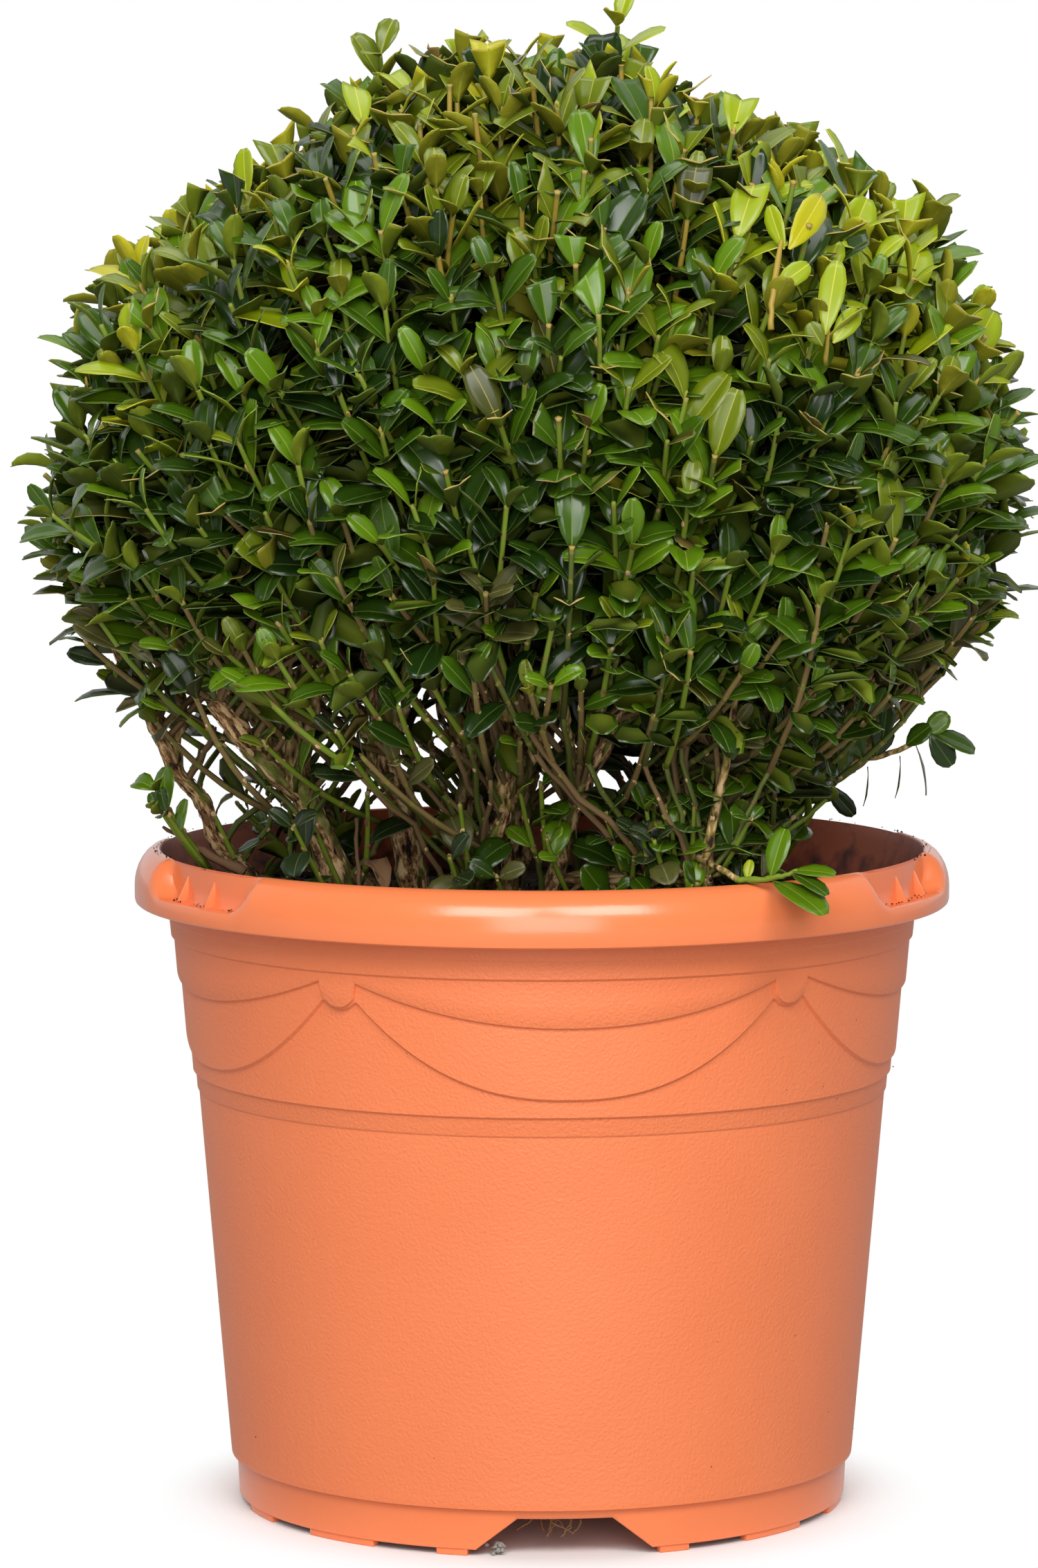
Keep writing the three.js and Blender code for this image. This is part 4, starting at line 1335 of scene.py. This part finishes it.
low = lowSprays()
lowLeaves, lowPairs = dressStems(low, 4, lowGrowth["spacing"], (0.6, 1.1), lowGrowth["leafLength"],
                                 lowGrowth["leafShare"], up=0.8, facing=(0.85, 0.5))
scatterTints(lowLeaves, low, {"shaded": 0.1, "dusty": 0.14, "dark": 0.2, "middle": 0.33, "fresh": 0.23})
basal = basalShoots()
basalLeaves, _ = dressStems(basal, 4, lowGrowth["basalSpacing"], (0.5, 1.1), lowGrowth["basalLeaf"],
                            lowGrowth["leafShare"], up=0.7, facing=(0.8, 0.55))
scatterTints(basalLeaves, basal, {"shaded": 0.1, "dusty": 0.1, "dark": 0.2, "middle": 0.34, "fresh": 0.26})
outliers = outlierSprays()
outlierLeaves, outlierPairs = dressStems(outliers, 4, (10, 13), (0.5, 0.9), (20, 25), (0.5, 0.6), up=0.1)
outlierTint = {"spray_left_tip": "middle", "spray_right_tip": "fresh", "spray_top_tip": "lime"}
outlierTints = np.array([tintIndex[outlierTint.get(name, "olive")] for name in sprayNodes])
outlierLeaves["tint"] = outlierTints[outlierLeaves["spray"]]
insideRim = pot["rimRadius"] - 17


# Nothing may reach into the pot's wall or hang beyond the lowest boughs, so leaves that would are left off.
def clearOfPot(leaves):
    start = leaves["origin"]
    end = start + leaves["along"] * leaves["length"][:, None]
    blocked = beyondBough(end) | ((end[:, 2] < 268) & (end[:, 0] < -108))
    for place, above in ((start, 2), (end, 3)):
        blocked |= (place[:, 2] < pot["top"] + above) & (np.hypot(place[:, 0], place[:, 1]) > insideRim)
    return pick(leaves, ~blocked)


# In front on the left the feet of the stems show, with few leaves before them
def openInFront(leaves):
    place = leaves["origin"]
    bare = (place[:, 0] < 12) & (place[:, 0] > -92) & (place[:, 1] < -15) & (place[:, 2] < 292)
    return pick(leaves, ~bare | (chance.random(len(bare)) < 0.25))


# Low down the crown's sprays keep their leaves only here and there, more of them at the back and to the right
def bareLegs(leaves):
    place = leaves["origin"]
    height = place[:, 2] + 34 * smooth(10, 80, place[:, 0]) + 12 * smooth(0, 60, place[:, 1])
    height = height - 12 * smooth(30, -10, place[:, 0]) * smooth(0, -40, place[:, 1])
    share = 0.84 * smooth(340, 292, height) * np.where(leaves["pair"] == 0, 0.3, 1)
    return pick(leaves, chance.random(len(height)) > share)


crownLeaves = bareLegs(clearOfPot(crownLeaves))
lowLeaves = openInFront(clearOfPot(lowLeaves))
basalLeaves = openInFront(clearOfPot(basalLeaves))


# The outer leaves are cut finely, in a piece for the top and one for each side. Those inside are plainer.
def makeLeaves():
    out = sprays["out"][crownLeaves["spray"]]
    outer = crownLeaves["pair"] < 3
    top = out[:, 2] > 0.55
    quarter = np.floor(((np.degrees(np.arctan2(out[:, 0], -out[:, 1])) + 45) % 360) / 90).astype(int)
    leafPiece("leaves_top", pick(crownLeaves, outer & top), fineLeaf, "foliage", "foliage_crown")
    for index, name in enumerate(("front", "right", "back", "left")):
        leafPiece("leaves_" + name, pick(crownLeaves, outer & ~top & (quarter == index)), fineLeaf, "foliage")
    leafPiece("leaves_inside", pick(crownLeaves, ~outer), plainLeaf, "foliage")
    leafPiece("leaves_deep", clearOfPot(innerLeaves), plainLeaf, "foliage")
    leafPiece("leaves_low", lowLeaves, fineLeaf, "foliage", *lowNodes)
    leafPiece("leaves_basal", basalLeaves, fineLeaf, "foliage")
    leafPiece("leaves_outlying", outlierLeaves, fineLeaf, "foliage", *sprayNodes)


makeLeaves()
print("leaves ready")


# The sprays that still carry two leaves or more, and where on their stems the pairs sit
def leafy(shoots, nodesAt, leaves):
    chosen = np.bincount(leaves["spray"], minlength=len(nodesAt)) > 1
    return pick(shoots, chosen), nodesAt[chosen]


# Forks, then all that grows on from them. Gives the lines and radii that carry leaf scars.
def makeTwigs():
    forkLines, forkRadii = growForks()
    tubePiece("forks", [(forkLines, forkRadii, 9, 0)], [youngBark], "bark")
    shoots, shootPairs = leafy(sprays, crownPairs, crownLeaves)
    lowShoots, lowShootPairs = leafy(low, lowPairs, lowLeaves)
    groups = []
    for index, (line, (thick, thin), sides) in enumerate(growBranches([shoots, inner, lowShoots, outliers],
                                                                      forkLines)):
        radii = np.linspace(thick, thin, line.shape[1])[None, :] * chance.uniform(0.85, 1.2, (len(line), 1))
        tone = np.zeros(len(line), int) if index < 2 else np.where(chance.random(len(line)) < 0.6, 0, 2)
        perLine = sides * (line.shape[1] - 1) + 2
        groups.append((line, radii * np.ones(line.shape[:2]), sides, np.repeat(tone, perLine)))
    tubePiece("twigs", groups, [twigBark, greenShoot, shadedShoot], "bark")
    knotted = [(line, radii) for line, radii, *_ in groups]
    high = (shoots["zone"] > 500 + chance.normal(0, 22, len(shoots["zone"])))
    woody = shoots["zone"] < 372 + chance.normal(0, 25, len(high))
    plain = np.where(high, 2, np.where(woody, chance.choice([5, 5, 1, 0], len(high)), 0))   # which skin
    groups = [shootGroup(shoots, shootPairs, (1.25, 1.0), plain),
              shootGroup(inner, innerPairs, (1.1, 0.8), np.full(len(innerPairs), 1)),
              shootGroup(lowShoots, lowShootPairs, (1.15, 0.8), np.full(len(lowShootPairs), 0)),
              shootGroup(outliers, outlierPairs, (1.2, 0.9), np.full(len(outlierPairs), 0))]
    skins = [greenShoot, shadedShoot, amberShoot, nodeScar, shornEnd, youngWood]
    tubePiece("shoots", groups, skins, "foliage")
    steps = 28
    lines = stemPoint(basal, np.tile(np.linspace(0, 1, steps), (len(basal["tip"]), 1)))
    lines = lines + jagged(len(lines), steps, 400) * 2.4
    radii = np.linspace(2.0, 0.9, steps)[None, :] * (1 + 0.3 * (chance.random(lines.shape[:2]) < 0.25))
    tubePiece("basal_shoots", [(lines, radii, 8, 0)], [youngBark], "bark")
    return [(forkLines, forkRadii), (lines, radii), *((line, thick) for line, thick, *_ in groups), *knotted]


knottedLines = makeTwigs()
print("twigs ready")


# Damp peat: dark brown, almost black in its hollows as painted shade, since one noise both sinks the surface
# and darkens the colour, and red-brown on its 3 mm crumbs
peat, _, _ = grainedMaterial(
    "peat_compost", "#2A1C15", 0.95, 0.2, {"Scale": 1 / (3 * mm), "Detail": 6.0},
    [(0.35, "#120B08"), (0.55, "#2E1F17"), (0.72, "#4C3527")], 1.0, 1.2)
soilShape = {"cells": 110, "roughness": 2.2, "depth": 12, "taper": 0.96, "crumbs": 900, "crumb": (0.7, 2.6)}
soilTree = nodeSurface("soil")
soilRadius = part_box("soil")[1].x / mm - 1.0


# Height of the modelled soil at a place, or of its edge outside it
def soilHeight(x, y):
    hit = soilTree.ray_cast(Vector((x, y, 300)), Vector((0, 0, -1)))[0]
    return hit.z if hit else 226.0


# A square grid is drawn into a disc, lifted to the soil's height and closed below.
def makeSoil():
    deselectAll()
    cells = soilShape["cells"]
    bpy.ops.mesh.primitive_grid_add(x_subdivisions=cells, y_subdivisions=cells, size=2)
    soil = bpy.context.active_object
    soil.name = "soil_heap"
    count = len(soil.data.vertices)
    points = np.empty(count * 3, np.float32)
    soil.data.vertices.foreach_get("co", points)
    u, v = points.reshape(-1, 3)[:, 0], points.reshape(-1, 3)[:, 1]
    x, y = u * np.sqrt(1 - v * v / 2), v * np.sqrt(1 - u * u / 2)
    level = np.array([soilHeight(a * soilRadius * 0.97, b * soilRadius * 0.97) for a, b in zip(x, y)])
    rough = sum(share * (valueNoise(x * scale + 40, y * scale + 40, seed) - 0.5)
                for share, scale, seed in ((1.2, 9, 11), (1.0, 24, 12), (0.8, 52, 13)))
    level = level + soilShape["roughness"] * rough
    place = np.stack([x * soilRadius, y * soilRadius, level], axis=-1) * mm
    soil.data.vertices.foreach_set("co", place.astype(np.float32).ravel())
    bpy.ops.object.mode_set(mode="EDIT")
    bpy.ops.mesh.select_all(action="SELECT")
    bpy.ops.mesh.region_to_loop()
    bpy.ops.mesh.extrude_region_move(TRANSFORM_OT_translate={"value": (0, 0, -soilShape["depth"] * mm)})
    bpy.ops.transform.resize(value=(soilShape["taper"], soilShape["taper"], 1))     # as the wall narrows
    bpy.ops.mesh.edge_face_add()
    bpy.ops.mesh.select_all(action="SELECT")
    bpy.ops.mesh.normals_make_consistent(inside=False)
    bpy.ops.object.mode_set(mode="OBJECT")
    bpy.ops.object.shade_smooth()
    soil.data.materials.append(peat)
    finishPiece(soil, "potting_soil", "soil")


# Many small lumps: one body of few faces, sized and turned by chance, or laid flat along given normals
def lumps(name, places, sizes, materials, slotName, body, normals=None, stretch=(1, 1, 1), ways=None):
    points, faces = body
    count = len(places)
    if normals is None:
        normals = unit(chance.normal(0, 1, (count, 3)))
    across = chance.normal(0, 1, (count, 3)) if ways is None else np.cross(ways, normals)
    first = unit(np.cross(normals, across))
    axes = np.stack([first, np.cross(normals, first), normals], axis=1)
    scale = sizes[:, None] * chance.uniform(0.75, 1.25, (count, 3)) * np.array(stretch)
    shape = points[None] * scale[:, None] * chance.uniform(0.85, 1.15, (count, len(points), 1))
    placed = places[:, None] + np.einsum("nij,njk->nik", shape, axes)
    corners = (faces[None] + np.arange(count)[:, None, None] * len(points)).reshape(-1)
    counts = np.full(count * len(faces), 3)
    slots = np.repeat(chance.integers(0, len(materials), count), len(faces))
    placed, flat = placed.reshape(-1, 3), np.zeros(len(counts), bool)
    return finishPiece(meshPiece(name, placed, corners, counts, materials, slots, flat), slotName)


# Points and faces of a round body of twenty triangles, or of a low pointed one of ten
def lumpBody(rounded):
    if rounded:
        bpy.ops.mesh.primitive_ico_sphere_add(subdivisions=1, radius=1)
    else:
        bpy.ops.mesh.primitive_cone_add(vertices=5, radius1=1, depth=1.4, end_fill_type="TRIFAN")
    model = bpy.context.active_object
    points = np.array([v.co for v in model.data.vertices])
    faces = np.array([list(p.vertices) for p in model.data.polygons])
    bpy.data.objects.remove(model)
    return points, faces


roundBody, fleckBody = lumpBody(True), lumpBody(False)
darkCrumb = newMaterial("dark_peat_crumb", "#1C120D", 0.95, Specular_IOR_Level=0.2)
redCrumb = newMaterial("brown_peat_crumb", "#3A261B", 0.95, Specular_IOR_Level=0.2)
paleCrumb = newMaterial("bark_chip", "#6E5238", 0.9, Specular_IOR_Level=0.2)


def makeCrumbs():
    count = soilShape["crumbs"]
    bearing = between((0, 2 * np.pi), count)
    away = (soilRadius - 3) * np.sqrt(chance.random(count))
    x, y = away * np.sin(bearing), -away * np.cos(bearing)
    z = np.array([soilHeight(a, b) for a, b in zip(x, y)]) + 0.3
    small, large = soilShape["crumb"]
    sizes = small + (large - small) * chance.random(count) ** 2.2
    lumps("soil_crumbs", np.stack([x, y, z], axis=-1), sizes, [darkCrumb, darkCrumb, redCrumb, paleCrumb],
          "potting_soil", roundBody)


speckCount = {"wall": 60, "crest": 40, "grip": 24}


# Specks of soil on the pot: a few on its wall, more on the crest of the rim and in the grips
def makeSpecks():
    def spots(first, last, count, radius, height):
        bearing = np.radians(between((first, last), count))
        return np.stack([radius * np.sin(bearing), -radius * np.cos(bearing), height], axis=-1)

    wall, crest, grip = speckCount.values()
    height = between((25, 212), wall)
    upperWall = pot["wallAtBand"] + 1.2 + (height - pot["bandHigh"]) * pot["wallSlope"]
    wallRadius = np.where(height < pot["bandLow"], 117.9 + (height - 18) * 0.0842, upperWall)
    crests = [between((143.6, 146.4), crest) for _ in range(2)]
    places = [spots(-180, 180, wall, wallRadius, height)]
    for radius, (first, last) in zip(crests, ((60, 150), (-150, -60))):
        places.append(spots(first, last, crest, radius, pot["top"] - 0.06 * (radius - 144.6) ** 2))
    for first, last in ((54, 71), (-71, -54)):
        radius = between((145.6, 149), grip)
        places.append(spots(first, last, grip, radius, np.full(grip, 234.6)))
    places = np.concatenate(places)
    sizes = np.concatenate([between((0.15, 0.32), wall), between((0.2, 0.5), 2 * (crest + grip))])
    lumps("soil_specks", places, sizes, [darkCrumb, redCrumb], "potting_soil", fleckBody, stretch=(1, 1, 0.6))


# Splashed soil dried on the leaves near the pot, in flat flecks on their upper sides
def makeFlecks():
    merged = together([lowLeaves, basalLeaves, crownLeaves])
    share = 1 - smooth(290, 450, merged["origin"][:, 2])
    merged = pick(merged, chance.random(len(share)) < share * 0.8)
    rows, columns = np.array([0.3, 0.42, 0.55, 0.66, 0.78]), (-0.7, -0.45, -0.2, 0.2, 0.45, 0.7)
    spots = leafPoints(merged, rows, columns, ())
    normals = np.broadcast_to(merged["normal"][:, None, None], spots.shape)
    chosen = chance.random(spots.shape[:3]) < chance.random((len(spots), 1, 1)) ** 2 * 0.32
    places, normals = spots[chosen], normals[chosen]
    sizes = 0.22 + 0.55 * chance.random(len(places)) ** 3
    lumps("soil_flecks", places + normals * 0.02, sizes, [driedSplash, paleCrumb, driedSplash],
          "potting_soil", fleckBody, normals, (1.3, 1, 0.22))
    print("flecks:", len(places))


# Small pointed buds in the leaf axils of the upper sprays
def makeBuds():
    high = pick(crownLeaves, (crownLeaves["pair"] < 3) & (sprays["zone"][crownLeaves["spray"]] > 400))
    high = pick(high, chance.random(len(high["length"])) < 0.3)
    way = unit(high["along"] * 0.82 + high["normal"] * 0.56)
    lumps("leaf_buds", high["origin"] + way * 1.8, between((0.75, 1.15), len(way)), [budScale, budGreen],
          "foliage", roundBody, way, (0.8, 0.8, 2.2))


# Loose flakes of bark on the stems, longer than wide
def makeFlakes():
    places, normals, ways, sizes = [], [], [], []
    for name, (line, thick) in limbs.items():
        if name == "bough_low_front":
            continue
        count = int(np.linalg.norm(line[-1] - line[0]) / 0.8)
        step = chance.integers(6, len(line) - 4, count)
        way = unit(line[step + 1] - line[step - 1])
        normal = unit(np.cross(way, chance.normal(0, 1, (count, 3))))
        radius = np.interp(step / len(line), np.linspace(0, 1, len(thick)), thick) * stemThickness(name)
        places.append(line[step] + normal * radius[:, None] * 1.02)
        normals.append(normal)
        ways.append(way)
        sizes.append(between((0.5, 1.3), count) * np.minimum(radius / 3, 1.2))
    places, normals, ways, sizes = (np.concatenate(part) for part in (places, normals, ways, sizes))
    lumps("bark_flakes", places, sizes, [paleFlake, paleFlake, brownFlake], "bark", fleckBody, normals,
          (2.6, 0.9, 0.3), ways)


# Scars and scales where leaves once stood, on all the lower twigs
def makeScars():
    places, normals, ways, sizes = [], [], [], []
    for line, thick in knottedLines:
        way = unit(np.gradient(line, axis=1))
        normal = unit(np.cross(way, chance.normal(0, 1, way.shape)))
        density = 0.8 * smooth(400, 320, line[..., 2])
        chosen = chance.random(line.shape[:2]) < density
        places.append((line + normal * thick[..., None] * 0.8)[chosen])
        normals.append(normal[chosen])
        ways.append(way[chosen])
        sizes.append(between((0.45, 0.95), chosen.sum()))
    places, normals, ways, sizes = (np.concatenate(part) for part in (places, normals, ways, sizes))
    lumps("leaf_scars", places, sizes, [paleFlake, brownFlake, nodeScar], "bark", roundBody, normals,
          (1.6, 1.1, 0.6), ways)
    print("scars:", len(places))


paleFlake = newMaterial("pale_bark_flake", "#C9A678", 0.85, Specular_IOR_Level=0.2)
brownFlake = newMaterial("brown_bark_flake", "#7A5A3C", 0.9, Specular_IOR_Level=0.2)
driedSplash = newMaterial("dried_soil_splash", "#54402C", 0.9, Specular_IOR_Level=0.2)
budScale = newMaterial("bud_scale", "#A98F48", 0.6, Specular_IOR_Level=0.3)
budGreen = newMaterial("young_bud", "#8C9A38", 0.5, Specular_IOR_Level=0.35)
makeSoil()
makeCrumbs()
makeSpecks()
makeFlecks()
makeBuds()
makeFlakes()
makeScars()
print("soil ready")


# A thin branch through given points, jagged a little between them
def stickLines(points, radii, steps=16):
    points = np.array(points, float)
    at = np.linspace(0, len(points) - 1, steps)
    line = np.stack([np.interp(at, np.arange(len(points)), points[:, k]) for k in range(3)], axis=-1)
    for _ in range(2):
        line[1:-1] = (line[:-2] + 2 * line[1:-1] + line[2:]) / 4
    line[1:-1] += chance.normal(0, 0.22, (steps - 2, 3))
    thick = np.interp(np.linspace(0, 1, steps), np.linspace(0, 1, len(radii)), radii)
    return line[None], (thick * chance.uniform(0.85, 1.15, steps))[None]


deadTwig = newMaterial("dead_twig", "#6A4E38", 0.9, Specular_IOR_Level=0.2)
witheredLeaf = newMaterial("withered_leaf", "#6E5238", 0.85, Specular_IOR_Level=0.2)
paleRoot = newMaterial("pale_root", "#8A6E50", 0.9, Specular_IOR_Level=0.2)
greyFluff = newMaterial("root_fluff", "#8E8A84", 0.95, Specular_IOR_Level=0.1)


# Single things that show: a dead twig over the rim and one upright, stems of young leaves at the upper right,
# a leafy twig at the lower right, a shoot that hangs over the front, and a withered leaf
def makeOddments():
    overRim = stickLines([(-143, -16, 258), (-134, -19, 252.5), (-124, -24, 247), (-113, -28, 242)],
                         (0.6, 1.4, 2.1))
    upright = stickLines([(-72, -66, 240), (-73, -65, 252), (-73, -64, 266)], (0.9, 0.8, 0.7), 8)
    tubePiece("dead_twigs", [(*overRim, 7, 0), (*upright, 7, 0)], [deadTwig], "bark")
    outlying = stickLines([(106, -27, 272), (112, -28, 280), (121, -29, 283), (132, -30, 286),
                           (143, -31, 293)], (1.6, 1.3, 1.2, 1.1, 0.8))
    rising = stickLines([(70, -146, 447), (71, -142, 460), (76, -130, 480)], (1.1, 1.1, 1.0), 10)
    budding = stickLines([(91, -134, 434), (91, -137, 442), (91, -138, 448)], (1.1, 1.0, 0.8), 6)
    tubePiece("young_stems", [(*outlying, 7, 0), (*rising, 7, 1), (*budding, 7, 1)], [youngBark, amberShoot],
              "foliage")
    young = (((78, -132, 475), (94, -116, 496), (0.2, -0.95, 0.2), 10.5, "young"),
             ((76, -133, 475), (70, -127, 491), (-0.5, -0.8, 0.2), 7, "lime"),
             ((90, -140, 445), (95, -131, 473), (-0.2, -0.95, 0.2), 9.5, "lime"),
             ((93, -139, 442), (103, -134, 455), (0.1, -0.9, 0.4), 8, "lime"),
             ((72, -141, 461), (85, -137, 471), (0.2, -0.85, 0.5), 8, "lime"),
             ((89, -141, 441), (84, -143, 449), (-0.3, -0.9, 0.3), 7, "olive"))
    leafPiece("leaves_young", placedLeaves(young), fineLeaf, "foliage")
    apart = (((143, -31, 293), (161, -32, 288), (0.1, -0.6, 0.8), 10, "middle"),
             ((143, -31, 292), (152, -31, 280), (-0.3, -0.8, 0.5), 9, "dark"),
             ((141, -31, 292), (150, -31, 300), (0.3, -0.8, 0.5), 8, "fresh"),
             ((134, -31, 288), (142, -34, 296), (-0.2, -0.8, 0.5), 8, "middle"),
             ((138, -30, 288), (145, -31, 270), (0.9, -0.2, 0.3), 5, "deep"),
             ((132, -30, 284), (133, -30, 268), (0.95, -0.1, 0.1), 4.5, "deep"),
             ((120, -29, 280), (121, -29, 265), (0.95, -0.1, 0.1), 4.5, "deep"),
             ((105, -28, 273), (115, -29, 261), (-0.4, -0.8, 0.3), 7, "shaded"),
             ((123, -30, 284), (127, -33, 296), (0.3, -0.8, 0.4), 9, "dark"),
             ((118, -29, 283), (112, -32, 294), (-0.3, -0.8, 0.4), 9, "middle"))
    leafPiece("leaves_right_low", placedLeaves(apart), fineLeaf, "foliage")
    woody = stickLines([(40, -88, 262), (42, -98, 259), (51, -114, 254.5), (61, -129, 249.6)],
                       (1.5, 1.4, 1.2))
    green = stickLines([(60, -128, 249.5), (68, -133, 250), (76, -138, 252), (81, -140, 254)],
                       (1.2, 1.1, 0.8))
    tubePiece("front_shoot", [(*woody, 8, 0), (*green, 8, 1)], [youngBark, greenShoot], "bark")
    hanging = (((72, -134, 251), (76, -132, 269), (-0.5, -0.8, 0.3), 9, "fresh"),
               ((79, -139, 254), (93, -148, 256), (0.1, -0.5, 0.85), 8, "fresh"),
               ((79, -140, 253), (90, -155, 250), (0.2, -0.5, 0.85), 8, "middle"),
               ((73, -136, 250), (88, -163, 246), (0.1, -0.35, 0.93), 14, "fresh"),
               ((64, -129, 249.5), (65, -127, 257), (-0.4, -0.9, 0.1), 4, "lime"))
    leafPiece("leaves_hanging", placedLeaves(hanging), fineLeaf, "foliage")
    curled = (((-63, -75, 240), (-65, -71, 257), (0.4, -0.9, 0.0), 9, "bronze"),)
    crumpled = placedLeaves(curled)
    crumpled["curl"] += 1.1
    crumpled["fold"] += 0.5
    crumpled["wave"] += 1.1
    withered = leafPiece("leaf_withered", crumpled, fineLeaf, "foliage")
    for index in range(len(withered.data.materials)):
        withered.data.materials[index] = witheredLeaf


# Leaves from rows of start, end, the way the upper side faces, width and tint
def placedLeaves(wanted):
    start, end, up, width = (np.array([leaf[i] for leaf in wanted], float) for i in range(4))
    along = unit(end - start)
    normal = unit(up - np.sum(up * along, axis=1, keepdims=True) * along)
    count = len(wanted)
    return {"origin": start, "along": along, "normal": normal, "side": np.cross(along, normal),
            "length": np.linalg.norm(end - start, axis=1), "width": width, "fold": np.full(count, 0.2),
            "curl": np.full(count, 0.35), "wave": np.full(count, 0.1), "cut": np.ones(count),
            "slant": np.zeros(count), "tint": np.array([tintIndex[leaf[4]] for leaf in wanted])}


# Roots and a little fluff that have grown out at the front notch
def makeNotchRoots():
    groups = []
    for _ in range(11):
        x = chance.uniform(-13, 6)
        start = np.array([x, -96 + chance.uniform(-3, 3), 13.5])
        fall = chance.uniform(2.5, 10)
        points = [start, start + np.array([chance.normal(0, 2), -5, -fall * 0.4]),
                  start + np.array([chance.normal(0, 4), chance.uniform(-11, -6), -fall])]
        groups.append((*stickLines(points, (0.45, 0.35, 0.2), 10), 5, 0))
    tubePiece("notch_roots", groups, [paleRoot], "bark")
    bearing = between((0, 2 * np.pi), 46)
    away = between((0, 4.2), 46)
    x, y = -24 + away * np.cos(bearing), -107 + 0.6 * away * np.sin(bearing)
    places = np.stack([x, y, between((0.6, 4.4), 46)], axis=-1)
    lumps("root_fluff", places, between((0.3, 0.9), 46), [greyFluff], "potting_soil", roundBody)


makeOddments()
makeNotchRoots()
print("oddments ready")
